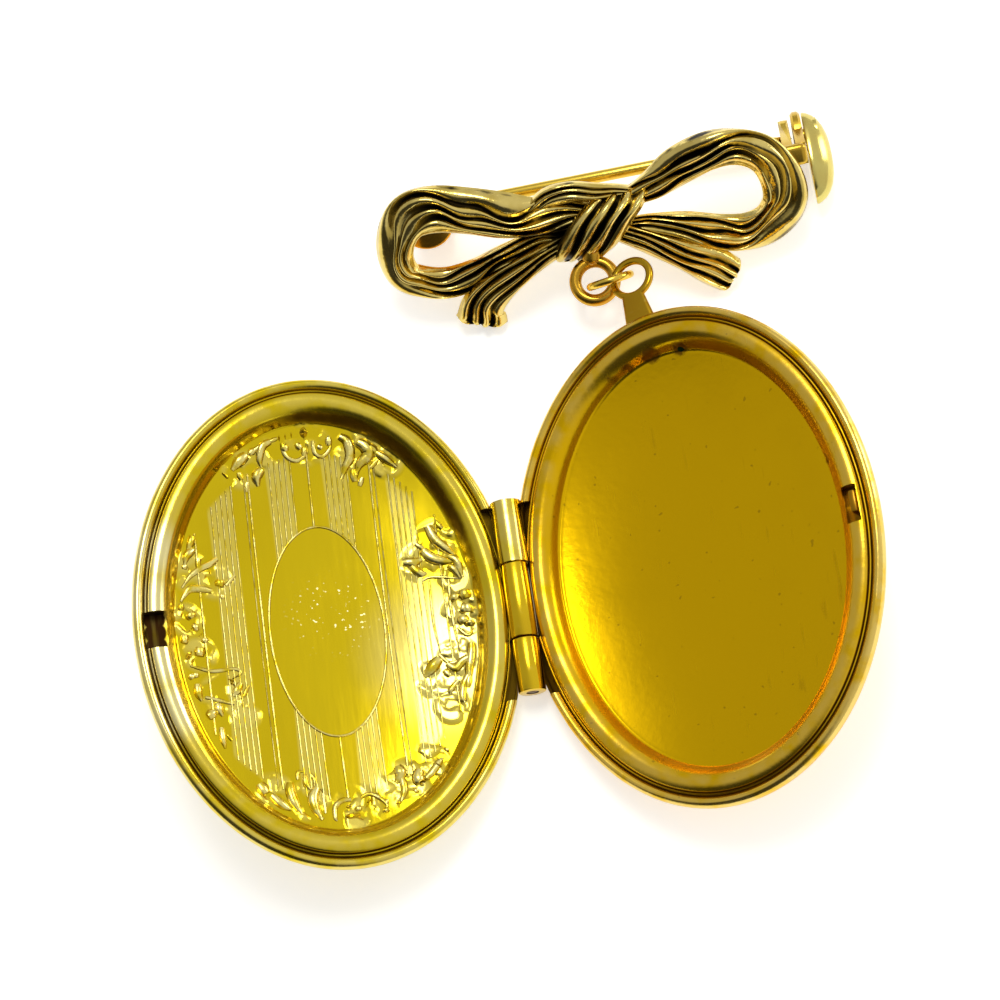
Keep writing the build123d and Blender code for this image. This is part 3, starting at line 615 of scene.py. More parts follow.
# Stains and painted shade, broken up by noise.
brown_stain_and_shade = satin.step(brown_stain_and_shade * 0.55 + blotch_noise * 0.9, 0.66, 1.0)
tone = satin.mix(brown_stain_and_shade * 0.85, tone, (0.12, 0.040, 0.005))
tone = satin.mix(satin.step(green + blotch_noise * 0.5, 0.75, 1.0), tone, (0.012, 0.045, 0.022))
tone = satin.mix(pits * 0.4, tone, (0.20, 0.11, 0.01))
tone = satin.mix(scratches * 0.35, tone, (0.42, 0.25, 0.006))
tone, back_grime_and_shade = aged_and_shaded(satin, tone)
smooth = 0.20 + back_grime_and_shade * 0.3 + clouds * 0.06 + brown_stain_and_shade * 0.15 + scratches * 0.1
back_gold = satin.metal(tone, smooth, satin.noise(0.0006, 3.0), 0.000012)

# The cover also gets painted shade on its upper wall.
soil_and_shade(cover, 0.75)
finish(cover, COVER_PLACE, "cover", cover_gold)
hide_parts("locket_cover")
soil_and_shade(back)
finish(back, BACK_PLACE, "brooch", back_gold)
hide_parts("locket_back")

# Hinge
# Three rolled knuckles, the middle one on the cover, turn on one wire whose ends are dressed flush.


def knuckle(name, low, high):
    outer, edge, inner = KNUCKLE_RADIUS, 0.1, 0.5
    rows = [(inner, inner, low), (outer - edge, outer - edge, low), (outer - 0.03, outer - 0.03, low + 0.03)]
    rows += [(outer, outer, low + edge), (outer, outer, high - edge), (outer - 0.03, outer - 0.03, high - 0.03)]
    rows += [(outer - edge, outer - edge, high), (inner, inner, high)]
    return move(trace(name, rows, 48, bore=True), Matrix.Rotation(math.radians(-90), 4, "X"))


near = knuckle("back_knuckle_near", BACK_LOW, COVER_LOW - KNUCKLE_GAP)
far = knuckle("back_knuckle_far", COVER_HIGH + KNUCKLE_GAP, BACK_HIGH)
middle = knuckle("cover_knuckle", COVER_LOW, COVER_HIGH)
finish(near, BACK_PLACE, "brooch", rim_gold)
finish(far, BACK_PLACE, "brooch", rim_gold)
finish(middle, COVER_PLACE, "cover", rim_gold)
pin_rows = [(0.2, 0.2, BACK_LOW), (0.4, 0.4, BACK_LOW + 0.05), (0.45, 0.45, BACK_LOW + 0.15)]
pin_rows += [(0.45, 0.45, BACK_HIGH - 0.15), (0.4, 0.4, BACK_HIGH - 0.05), (0.2, 0.2, BACK_HIGH)]
wire = move(trace("hinge_wire", pin_rows, 32), Matrix.Rotation(math.radians(-90), 4, "X"))
finish(wire, BACK_PLACE, "brooch", wire_dark)
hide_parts("hinge_pin")

# Clasp tongue
# A little bent strip soldered in the back's notch; it snaps into the cover's slot.
tongue_low = (FREE_EDGE - 1.95, CLASP_MIDDLE - 0.85, -1.3)
tongue_high = (FREE_EDGE - 1.45, CLASP_MIDDLE + 0.85, 0.45)
tongue = block("clasp_tongue", tongue_low, tongue_high, 0.12)
finish(tongue, BACK_PLACE, "brooch", tongue_gold)

# Bail
# A flat eye on a neck that widens to the rim, pressed from plate, bent down a little and soldered on.
BAIL_X = OVAL_X - 1.69
BAIL_Y = HALF_LONG + 3.75
BAIL_THICK = 0.54
BAIL_LEVEL = -0.65
BEND_Y = HALF_LONG - 0.3
bail_half = BAIL_THICK / 2
ring_rows = []
for turn in range(0, 360, 20):
    angle = math.radians(turn)
    side = math.copysign(abs(math.cos(angle)) ** 0.7, math.cos(angle))
    face = math.copysign(abs(math.sin(angle)) ** 0.7, math.sin(angle))
    ring_rows.append((1.58 + 0.30 * side, 1.58 + 0.30 * side, bail_half * face))
eye = trace("bail", ring_rows, 64, bore=True)
neck = block("neck", (-0.95, -4.4, -bail_half), (0.95, -1.45, bail_half), 0.24, 4)
for point in neck.data.vertices:
    reach = min(max((-1.9 - point.co.y) / 2.5, 0.0), 1.0)
    point.co.x = point.co.x * (1 + 0.42 * reach**1.6) + 0.5 * reach
cut(eye, neck, how="UNION")
move(eye, Matrix.Translation((BAIL_X, BAIL_Y - BEND_Y, 0)))
bail_bend = Matrix.Rotation(math.radians(-9.3), 4, "X")
bail_place = Matrix.Translation((0, BEND_Y, BAIL_LEVEL)) @ bail_bend
bail_gold = bright_gold("bail_gold", (0.52, 0.34, 0.02), 0.16, 0.7)
finish(eye, BACK_PLACE @ bail_place, "brooch", bail_gold)

# Jump ring
# Round gilt wire bent to a ring, which links the bail to the ring under the bow.
arm = 3.75 + 0.3
eye_y = BEND_Y + arm * math.cos(math.radians(9.3))
eye_z = BAIL_LEVEL - arm * math.sin(math.radians(9.3))
eye_place = RAISED @ Vector((BAIL_X, eye_y, eye_z))
ring_middle = eye_place + Vector((-1.79, 0.67, -1.17 + HINGE_HEIGHT)) + SHIFT
bpy.ops.object.select_all(action="DESELECT")
bpy.ops.mesh.primitive_torus_add(major_segments=72, minor_segments=20, major_radius=1.68, minor_radius=0.33)
jump_ring = bpy.context.object
jump_ring.name = "jump_ring_wire"
ring_turn = Matrix.Rotation(math.radians(8), 4, "Z") @ Matrix.Rotation(math.radians(90 + 22.4), 4, "X")
wire_gold = bright_gold("wire_gold", (0.84, 0.58, 0.08), 0.12, 0.2)
ring_place = Matrix.Scale(MM, 4) @ Matrix.Translation(ring_middle) @ ring_turn
finish(jump_ring, ring_place, "brooch", wire_gold)
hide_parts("jump_ring")

# Ribbons of the bow
# Cast in one piece: each ribbon is a band of round strands with deep grooves that were blackened
# and then polished off on the crests. Its own frame has U along the pin, V up and W out of its face.
KNOT = Vector((11.6, 29.3, 4.904))
TILT = math.radians(35)
BOW_PLACE = Matrix.Scale(MM, 4) @ Matrix.Translation(SHIFT + KNOT) @ Matrix.Rotation(TILT, 4, "X")
BAND_WIDTH = 3.3
BAND_THICK = 1.5
LEFT_LOOP = (
    # along, rise and breadth as shares of 17.1, 3.5 and the band's width, lift in mm, roll in degrees
    (0.01, 0.20, 0.50, 0.00, 5), (-0.10, 0.26, 0.70, 0.07, 5), (-0.19, 0.30, 0.82, 0.19, 4), (-0.33, 0.37, 0.98, 0.35, 5),
    (-0.46, 0.54, 1.14, 0.55, 10), (-0.61, 0.80, 1.14, 0.75, 14), (-0.76, 1.00, 1.16, 0.95, 18),
    (-0.88, 0.98, 1.18, 1.00, 22), (-0.96, 0.65, 1.12, 0.90, 26), (-1.00, 0.12, 1.04, 0.65, 28),
    (-0.98, -0.40, 0.98, 0.35, 24), (-0.90, -0.67, 0.88, 0.10, 16), (-0.78, -0.80, 0.80, -0.05, 8),
    (-0.63, -0.72, 0.78, -0.10, 0), (-0.49, -0.50, 0.72, -0.10, 0), (-0.33, -0.33, 0.70, -0.03, -3),
    (-0.13, -0.27, 0.62, 0.13, -6), (-0.03, -0.22, 0.42, 0.13, -6),
)
RIGHT_LOOP = (
    # as shares of 14.6 and 3.5
    (0.11, 0.29, 0.46, -0.09, -5), (0.20, 0.40, 0.56, 0.08, -3), (0.32, 0.58, 0.78, 0.30, -5),
    (0.46, 0.88, 0.96, 0.55, -10), (0.64, 1.10, 0.96, 0.85, -16), (0.80, 1.06, 0.90, 1.00, -22),
    (0.93, 0.76, 0.98, 0.90, -26), (1.00, 0.20, 1.14, 0.65, -26), (1.00, -0.40, 1.20, 0.35, -20),
    (0.91, -0.82, 1.06, 0.10, -12), (0.78, -0.97, 0.97, -0.05, -6), (0.63, -0.87, 0.90, -0.10, 0),
    (0.44, -0.57, 0.74, -0.10, 0), (0.25, -0.38, 0.56, -0.11, 3), (0.09, -0.30, 0.44, -0.19, 7),
    (-0.01, -0.20, 0.40, -0.19, 7),
)
LEFT_TAIL = (
    # as shares of 11.5 and 7.0
    (-0.12, -0.12, 0.45, 0.41, 6), (-0.38, -0.24, 0.52, 0.47, 3), (-0.62, -0.40, 0.66, 0.50, 0),
    (-0.83, -0.58, 0.86, 0.35, 0), (-0.95, -0.74, 1.08, 0.05, 0), (-0.99, -0.91, 1.30, -0.40, 0),
)
RIGHT_TAIL = (
    (-0.02, -0.05, 0.44, 0.10, -7), (0.08, -0.17, 0.48, 0.26, -7), (0.30, -0.38, 0.60, 0.52, -4), (0.52, -0.59, 0.80, 0.55, 0),
    (0.69, -0.79, 0.98, 0.25, 0), (0.80, -0.95, 0.92, -0.22, 0),
)
FOLD = (
    # as shares of 7.8, and of a width of 1.7
    (-0.72, 0.24, 0.60, 0.15, 0), (-0.51, 0.34, 0.95, 0.75, 0), (-0.26, 0.35, 1.00, 0.93, 0),
    (-0.03, 0.30, 0.85, 0.72, 5), (0.17, 0.27, 0.62, 0.40, 5), (0.36, 0.22, 0.45, 0.10, 5),
)
WRAPS = (
    # as shares of half the knot's slanted length, and of its width of 3.9
    (-0.95, -1.12, 0.66, -0.52, 0), (-0.80, -0.94, 0.90, 0.60, 0), (-0.46, -0.53, 1.00, 1.20, 0),
    (0.00, 0.00, 1.00, 1.40, 0), (0.32, 0.32, 0.98, 1.20, 0), (0.52, 0.52, 0.90, 0.55, 0),
    (0.60, 0.61, 0.80, -0.52, 0),
)


def smooth_rows(values, steps):
    """A flowing line through rows of numbers."""
    values = np.array(values, float)
    padded = np.vstack([2 * values[0] - values[1], values, 2 * values[-1] - values[-2]])
    line = []
    for index in range(1, len(padded) - 2):
        a, b, c, d = padded[index - 1:index + 3]
        for share in np.linspace(0, 1, steps, endpoint=False):
            line.append(0.5 * (2 * b + (c - a) * share + (2 * a - 5 * b + 4 * c - d) * share**2
                               + (3 * b - a - 3 * c + d) * share**3))
    line.append(padded[-2])
    return np.array(line)


def skin(name, rings, dark):
    """A closed body through rings of points, with a share of darkness kept at each point."""
    count, around = rings.shape[:2]
    points = rings.reshape(-1, 3).tolist()
    faces = []
    for ring in range(count - 1):
        for spot in range(around):
            after = (spot + 1) % around
            low, high = ring * around, (ring + 1) * around
            faces.append((low + spot, low + after, high + after, high + spot))
    for base, ring in ((0, rings[0]), ((count - 1) * around, rings[-1])):
        points.append(ring.mean(axis=0).tolist())
        for spot in range(around):
            faces.append((base + spot, base + (spot + 1) % around, len(points) - 1))
    mesh = bpy.data.meshes.new(name)
    mesh.from_pydata(points, [], faces)
    piece = bpy.data.objects.new(name, mesh)
    bpy.context.collection.objects.link(piece)
    shade = mesh.attributes.new("dark", "FLOAT", "POINT")
    shade.data.foreach_set("value", np.append(np.asarray(dark, float).ravel(), [1.0, 1.0]))
    bpy.ops.object.select_all(action="DESELECT")
    piece.select_set(True)
    bpy.context.view_layer.objects.active = piece
    bpy.ops.object.mode_set(mode="EDIT")
    bpy.ops.mesh.select_all(action="SELECT")
    bpy.ops.mesh.normals_make_consistent(inside=False)
    bpy.ops.object.mode_set(mode="OBJECT")
    return piece


ROUNDED_END = ((0.93, 0.16), (0.72, 0.28))
BAND_BACK = ((1.0, -0.02), (0.97, -0.16), (0.8, -0.34), (0.4, -0.42), (-0.4, -0.42), (-0.8, -0.34), (-0.97, -0.16))


def ribbon(name, rows, reach, rise, width, weights, seed, drift=0.45, ridge=0.8, thick=BAND_THICK):
    """A band of strands side by side, each with its own weight, through rows of a section table."""
    chance = np.random.default_rng(seed)
    line = smooth_rows([(a * reach, b * rise, lift, breadth, roll) for a, b, breadth, lift, roll in rows], 9)
    tangent = np.gradient(line[:, :3], axis=0)
    tangent /= np.linalg.norm(tangent, axis=1)[:, None]
    across = np.cross((0, 0, 1), tangent)
    across /= np.linalg.norm(across, axis=1)[:, None]
    front = np.cross(tangent, across)
    roll = np.radians(line[:, 4])[:, None]
    across, front = across * np.cos(roll) + front * np.sin(roll), front * np.cos(roll) - across * np.sin(roll)
    run = np.append(0, np.cumsum(np.linalg.norm(np.diff(line[:, :3], axis=0), axis=1)))
    phase = chance.uniform(0, 6.28, (len(weights), 3))
    rings, dark = [], []
    for index, travel in enumerate(run):
        half = line[index, 3] * width / 2
        shares = [
            weight * math.exp(drift * (math.sin(travel * 0.55 + a) + 0.6 * math.sin(travel * 1.15 + b)))
            for weight, (a, b, _) in zip(weights, phase)
        ]
        edges = np.append(0, np.cumsum(shares)) / sum(shares) * 2 - 1
        ring, tone = [], []
        for strand, (_, _, wave) in enumerate(phase):
            swell = 1 + 0.38 * math.sin(travel * 0.8 + wave)
            for share in (0.0, 0.10, 0.20, 0.30, 0.42, 0.55, 0.68, 0.80, 0.90):
                place = edges[strand] + (edges[strand + 1] - edges[strand]) * share
                crest = math.sin(math.pi * min(max((share - 0.08) / 0.84, 0.0), 1.0))
                level = 0.04 + 0.20 * (1 - place**2) + 0.34 * swell * crest**0.75 * min(1.0, half / 1.3)
                ring.append(line[index, :3] + across[index] * (place * half) + front[index] * (level * thick))
                tone.append(min(1 - crest**ridge, 0.12 + 5 * (1 - abs(place))))
        for place, level in BAND_BACK:
            ring.append(line[index, :3] + across[index] * (place * half) + front[index] * (level * thick))
            tone.append(0.2)
        rings.append(np.array(ring))
        dark.append(tone)
    for end, step in ((0, -1), (-1, 1)):
        middle, tip = rings[end].mean(axis=0), rings[end]
        rounded = [middle + (tip - middle) * size + tangent[end] * step * out for size, out in ROUNDED_END]
        rings = rings + rounded if step > 0 else rounded[::-1] + rings
        dark = dark + [dark[-1]] * 2 if step > 0 else [dark[0]] * 2 + dark
    return skin(name, np.array(rings), dark)


old_gold = Paint(bpy.data.materials.new("bow_gold"))
groove = Level(old_gold, old_gold.node("ShaderNodeAttribute", {"attribute_name": "dark"}).outputs["Fac"])
patchy = old_gold.noise(0.0016, 3.0)
spread = old_gold.noise(0.0042, 2.0)
soot_and_shade = old_gold.step(groove + (patchy - 0.5) * 0.9 + (spread - 0.5) * 1.5, 0.44, 0.78)
warm = old_gold.mix(old_gold.step(old_gold.noise(0.002, 2.0), 0.4, 0.7) * 0.5, (0.80, 0.62, 0.19), (0.50, 0.33, 0.02))
for spot_u, spot_v, spot_w in ((-17.4, 0.5, 1.2), (15.0, 0.0, 1.4)):
    soot_and_shade = soot_and_shade * (1 - old_gold.near(BOW_PLACE @ Vector((spot_u, spot_v, spot_w)), 0.0018, 0.0056) * 0.85)
# Painted shade: a dark spot where the left loop goes in under the knot.
soot_and_shade = soot_and_shade.most(old_gold.near(BOW_PLACE @ Vector((-3.2, -0.8, 0.6)), 0.0006, 0.0022))
bow_tone = old_gold.mix(soot_and_shade, warm, (0.016, 0.010, 0.003))
bow_gold = old_gold.metal(bow_tone, 0.12 + soot_and_shade * 0.3, old_gold.noise(0.0005, 3.0), 0.00003)

WRAP_LEAN = math.radians(47)
wrap_u, wrap_v = 3.9 * math.sin(WRAP_LEAN), 3.9 * math.cos(WRAP_LEAN)
bands = [
    ribbon("bow_left_loop", LEFT_LOOP, 17.1, 3.5, BAND_WIDTH, (0.36, 0.24, 0.22, 0.18), 1),
    ribbon("bow_right_loop", RIGHT_LOOP, 14.6, 3.5, BAND_WIDTH, (0.20, 0.22, 0.26, 0.32), 2),
    ribbon("bow_left_tail", LEFT_TAIL, 11.5, 7.0, BAND_WIDTH, (0.25, 0.25, 0.22, 0.28), 3, 0.2),
    ribbon("bow_right_tail", RIGHT_TAIL, 11.5, 7.0, BAND_WIDTH, (0.25, 0.25, 0.22, 0.28), 4, 0.2),
    ribbon("bow_fold", FOLD, 7.8, 7.8, 1.7, (0.4, 0.3, 0.3), 5, 0.2),
    ribbon("bow_knot", WRAPS, wrap_u, wrap_v, 3.9, (0.24, 0.26, 0.24, 0.26), 6, 0.15, 1.5),
]
wrap_run = Vector((math.sin(WRAP_LEAN), math.cos(WRAP_LEAN), 0))
wrap_side = Vector((-wrap_run.y, wrap_run.x, 0))
for point in bands[-1].data.vertices:
    point.co += wrap_run * (-0.8 * point.co.dot(wrap_side))
for band in bands:
    finish(band, BOW_PLACE, "brooch", bow_gold, 60)
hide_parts("bow")

# Ring under the knot
# A thick cast ring on a short collar, less polished than the ribbons.
brown_gold = bright_gold("ring_gold", (0.62, 0.36, 0.04), 0.2, 0.6)
bpy.ops.object.select_all(action="DESELECT")
bpy.ops.mesh.primitive_torus_add(major_segments=64, minor_segments=24, major_radius=1.6, minor_radius=0.5)
drop_ring = bpy.context.object
drop_ring.name = "bow_ring"
ring_root = Vector((-1.55, -3.24, 0.75))
ring_lean = Matrix.Rotation(math.radians(9.5 - 35), 4, "X") @ Matrix.Translation((0, -1.6, 0))
finish(drop_ring, BOW_PLACE @ Matrix.Translation(ring_root) @ ring_lean, "brooch", brown_gold)
collar_line = Vector((-1.2, -1.6, 0.3)) - ring_root
collar_rows = [(0.5, 0.5, -0.25), (0.72, 0.72, -0.1), (0.8, 0.8, 0.15), (0.8, 0.8, collar_line.length)]
collar = trace("bow_collar", collar_rows, 32)
collar_turn = collar_line.to_track_quat("Z", "Y").to_matrix().to_4x4()
finish(collar, BOW_PLACE @ Matrix.Translation(ring_root) @ collar_turn, "brooch", brown_gold)

# Pin joint
# A base plate soldered behind the left loop, with two round cheeks and the rivet that carries the pin.
PIN_V, PIN_DEPTH = 2.4, 5.1
ROOT_U = -14.2
CHEEK_RADIUS = 1.642
JOINT_HALF = 1.32


def disc(name, radius, low, high, axis, edge=0.08, sides=48):
    """A round plate between two heights, with softened edges, turned to lie square to U or V."""
    rows = [(radius - edge, radius - edge, low), (radius, radius, low + edge)]
    rows += [(radius, radius, high - edge), (radius - edge, radius - edge, high)]
    turn = Matrix.Rotation(math.radians(90), 4, "Y") if axis == "U" else Matrix.Rotation(math.radians(-90), 4, "X")
    return move(trace(name, rows, sides), turn)


plate_rows = [(2.15, 2.15, -1.4), (2.3, 2.3, -1.25), (2.3, 2.3, -0.5), (2.22, 2.22, -0.36), (2.1, 2.1, -0.3)]
joint_parts = [move(trace("base", plate_rows, 64), Matrix.Translation((ROOT_U, PIN_V, 0)))]
joint_parts.append(block("pad", (ROOT_U - 1.2, PIN_V + 0.2, -0.8), (ROOT_U + 1.2, PIN_V + 1.8, 0.5)))
for side in (-1, 1):
    low, high = sorted((side * JOINT_HALF, side * (JOINT_HALF - 0.7)))
    cheek = disc("cheek", CHEEK_RADIUS, low, high, "V")
    joint_parts.append(move(cheek, Matrix.Translation((ROOT_U, PIN_V, -PIN_DEPTH))))
    leg_low = (ROOT_U - CHEEK_RADIUS, PIN_V + low, -PIN_DEPTH)
    joint_parts.append(block("leg", leg_low, (ROOT_U + CHEEK_RADIUS, PIN_V + high, -0.9), 0.05))
rivet = disc("rivet", 0.4, -JOINT_HALF - 0.0, JOINT_HALF + 0.0, "V", 0.05, 24)
joint_parts.append(move(rivet, Matrix.Translation((ROOT_U, PIN_V, -PIN_DEPTH))))
joint = join("pin_joint", *joint_parts)
orange_gold = bright_gold("joint_gold", (0.80, 0.40, 0.035), 0.16, 0.3)
finish(joint, BOW_PLACE, "brooch", orange_gold)

# Catch
# A slotted hook cheek and an end cheek on a base plate, with the stub on which the lever turns.
HOOK_U, HOOK_RADIUS = 15.15, 1.57
END_U, CHEEK = 16.2, 0.8
END_RADIUS = 2.103
END_OUTER = END_U + CHEEK
SLOT_HALF = 0.6
catch_at = Matrix.Translation((0, PIN_V, -PIN_DEPTH))
BASE_LOW, BASE_HIGH = PIN_V - 1.45, PIN_V + 0.3


def cheek_leg(low, high):
    """A cheek's leg, which narrows from the disc to the base plate."""
    leg = block("leg", (low, PIN_V - HOOK_RADIUS, -PIN_DEPTH), (high, PIN_V + HOOK_RADIUS, -0.9), 0.05)
    for point in leg.data.vertices:
        if point.co.z > -2:
            share = (point.co.y - PIN_V + HOOK_RADIUS) / (2 * HOOK_RADIUS)
            point.co.y = BASE_LOW + share * (BASE_HIGH - BASE_LOW)
    return leg


hook = move(disc("hook", HOOK_RADIUS, HOOK_U, HOOK_U + CHEEK, "U", 0.2), catch_at)
hook = cut(hook, cheek_leg(HOOK_U, HOOK_U + CHEEK), how="UNION")
slot_block = block("slot", (HOOK_U - 1, PIN_V - SLOT_HALF, -PIN_DEPTH - 3), (HOOK_U + 1.5, PIN_V + SLOT_HALF, -PIN_DEPTH))
slot_round = move(disc("slot_end", SLOT_HALF, HOOK_U - 1, HOOK_U + 1.5, "U", 0.01, 32), catch_at)
hook = cut(hook, slot_block, slot_round)
end_cheek = move(disc("end", END_RADIUS, END_U, END_OUTER, "U", 0.2), catch_at)
end_leg = cheek_leg(END_U, END_OUTER)
catch_base = block("base", (END_OUTER - 3.8, BASE_LOW, -1.4), (END_OUTER, BASE_HIGH, -0.35), 0.45, 5)
catch_pad = block("pad", (13.0, PIN_V - 1.5, -0.8), (15.0, PIN_V + 0.5, 0.5))
stub = move(disc("stub", 0.6, END_OUTER - 0.1, END_OUTER + 0.85, "U", 0.06, 32), catch_at)
catch = join("pin_catch", hook, end_cheek, end_leg, catch_base, catch_pad, stub)
catch_gold = bright_gold("catch_gold", (0.70, 0.50, 0.07), 0.14, 0.6)
finish(catch, BOW_PLACE, "brooch", catch_gold)

# Pin
# A hard gilt wire with a flat eye at one end and a drawn point at the other.
PIN_RADIUS, TIP_U, POINT = 0.5, 16.05, 3.0
stem_rows = [(0.44, 0.44, ROOT_U + 0.55), (PIN_RADIUS, PIN_RADIUS, ROOT_U + 0.75)]
stem_rows += [(PIN_RADIUS, PIN_RADIUS, TIP_U - POINT), (0.4, 0.4, TIP_U - 1.6), (0.22, 0.22, TIP_U - 0.4)]
stem_rows.append((0.06, 0.06, TIP_U))
stem = move(trace("pin_wire", stem_rows, 32), Matrix.Rotation(math.radians(90), 4, "Y"))
eye_rows = [(0.45, 0.45, -0.5), (1.08, 1.08, -0.5), (1.15, 1.15, -0.42), (1.15, 1.15, 0.42)]
eye_rows += [(1.08, 1.08, 0.5), (0.45, 0.45, 0.5)]
pin_eye = move(trace("pin_eye", eye_rows, 48, bore=True), Matrix.Rotation(math.radians(-90), 4, "X"))
move(pin_eye, Matrix.Translation((ROOT_U, 0, 0)))
pin = join("pin_stem_wire", stem, pin_eye)
move(pin, catch_at)
finish(pin, BOW_PLACE, "pin", wire_gold)
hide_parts("pin_stem")

# Lever of the safety catch
# A hub that turns on the stub, under a polished oval shell that the thumb pushes.
HUB_LOW = END_OUTER + 0.12
thumb_rows = [(0.03, 1.0), (0.25, 0.985), (0.45, 0.93), (0.65, 0.80), (0.8, 0.63), (0.9, 0.45), (0.97, 0.22), (1.0, 0.06)]
rows = [(4.0 * share, 1.9 * share, 1.9 * level) for share, level in thumb_rows]
rows.append((4.0 * 0.985, 1.9 * 0.97, 0.0))
rows += [(4.0 * share * 0.78, 1.9 * share * 0.76, 1.4 * level) for share, level in reversed(thumb_rows)]
thumb = trace("thumb", rows, 64)
move(thumb, Matrix.Rotation(math.radians(90), 4, "Z"))
move(thumb, Matrix.Rotation(math.radians(90), 4, "Y"))
move(thumb, Matrix.Translation((HUB_LOW, -2.0, 0)))
move(thumb, Matrix.Rotation(math.radians(-33), 4, "X"))
hub_rows = [(0.65, 0.65, HUB_LOW), (1.3, 1.3, HUB_LOW), (1.35, 1.35, HUB_LOW + 0.05)]
hub_rows += [(1.35, 1.35, HUB_LOW + 1.1), (0.65, 0.65, HUB_LOW + 1.1)]
hub = move(trace("hub", hub_rows, 40, bore=True), Matrix.Rotation(math.radians(90), 4, "Y"))
lever = move(join("catch_thumb", thumb, hub), catch_at)
thumb_gold = bright_gold("thumb_gold", (0.70, 0.59, 0.17), 0.13, 0.25)
finish(lever, BOW_PLACE, "lever", thumb_gold)
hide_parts("catch_lever")

# Ornament of the cover
# Pressed with the cover from one die: an empty oval, fine stripes, and flowers with scrolls on the
# four sides. It shows on the outside too, so each line is laid on the floor and on the dome.


def laid(strokes, depth_at, lift, face=1):
    """Raised lines on a dished face: rows of across, along and radius, in millimetres from its middle."""
    line = bpy.data.curves.new("lines", "CURVE")
    line.dimensions = "3D"
    line.bevel_depth = 1.0
    line.bevel_resolution = 2
    line.use_fill_caps = True
    for stroke in strokes:
        spline = line.splines.new("POLY")
        spline.points.add(len(stroke) - 1)
        for point, (across_at, along_at, radius) in zip(spline.points, stroke):
            depth = depth_at(across_at, along_at)
            point.co = (OVAL_X - across_at, along_at, -depth + lift * radius * face, 1.0)
            point.radius = radius
    holder = bpy.data.objects.new("lines", line)
    bpy.context.collection.objects.link(holder)
    bpy.ops.object.select_all(action="DESELECT")
    holder.select_set(True)
    bpy.context.view_layer.objects.active = holder
    bpy.ops.object.convert(target="MESH")
    raised = bpy.context.object
    spots = [point.co for point in raised.data.vertices]
    # Painted shade at the feet of the raised lines: darker where a line meets the face.
    rise = np.array([(spot.z + depth_at(OVAL_X - spot.x, spot.y)) * face for spot in spots])
    shade = raised.data.attributes.new("grime", "FLOAT", "POINT")
    shade.data.foreach_set("value", np.clip(1 - rise / 0.09, 0, 1))
    return raised


def curl(points, thick, steps=5):
    """A stroke through a few points that thins at its ends."""
    flow = smooth_rows([(x, y, 0) for x, y in points], steps)
    count = len(flow)
    return [(x, y, thick * (0.35 + 0.65 * math.sin(math.pi * min(1.0, 0.15 + index / count)) ** 0.8))
            for index, (x, y, _) in enumerate(flow)]


def oval_line(middle, wide, long, radius, steps=72):
    """A closed oval stroke."""
    turns = [2 * math.pi * step / steps for step in range(steps + 1)]
    return [(middle[0] + wide * math.cos(turn), middle[1] + long * math.sin(turn), radius) for turn in turns]


def stripe(across_at, radius):
    """One or two upright lines at a place across, kept off the cartouche and the flowers."""
    top = STRIPES_REACH * FLOOR_LONG * math.sqrt(max(0.0, 1 - (across_at / FLOOR_WIDE) ** 2))
    low = -top
    inside = (across_at - CARTOUCHE[0]) / CARTOUCHE_WIDE
    spans = [(low, top)]
    if abs(inside) < 0.98:
        half = CARTOUCHE_LONG * math.sqrt(1 - inside**2)
        spans = [(low, CARTOUCHE[1] - half - 0.05), (CARTOUCHE[1] + half + 0.05, top)]
    lines = []
    for start, end in spans:
        if end - start < 0.5:
            continue
        count = max(3, int((end - start) / 0.9))
        lines.append([(across_at, start + (end - start) * step / count, radius) for step in range(count + 1)])
    return lines


plain_lines = [oval_line(CARTOUCHE, CARTOUCHE_WIDE, CARTOUCHE_LONG, 0.10)]
for side in (-1, 1):
    for place in (1.4, 1.83, 2.26, 2.69, 3.12, 6.35, 6.78, 7.21, 7.64, 8.07):
        plain_lines += stripe(side * place, 0.065)
    for place in (4.9, 9.6):
        plain_lines += stripe(side * place, 0.085)
    plain_lines += stripe(side * 5.25, 0.05)
plain_lines += stripe(0.0, 0.085)

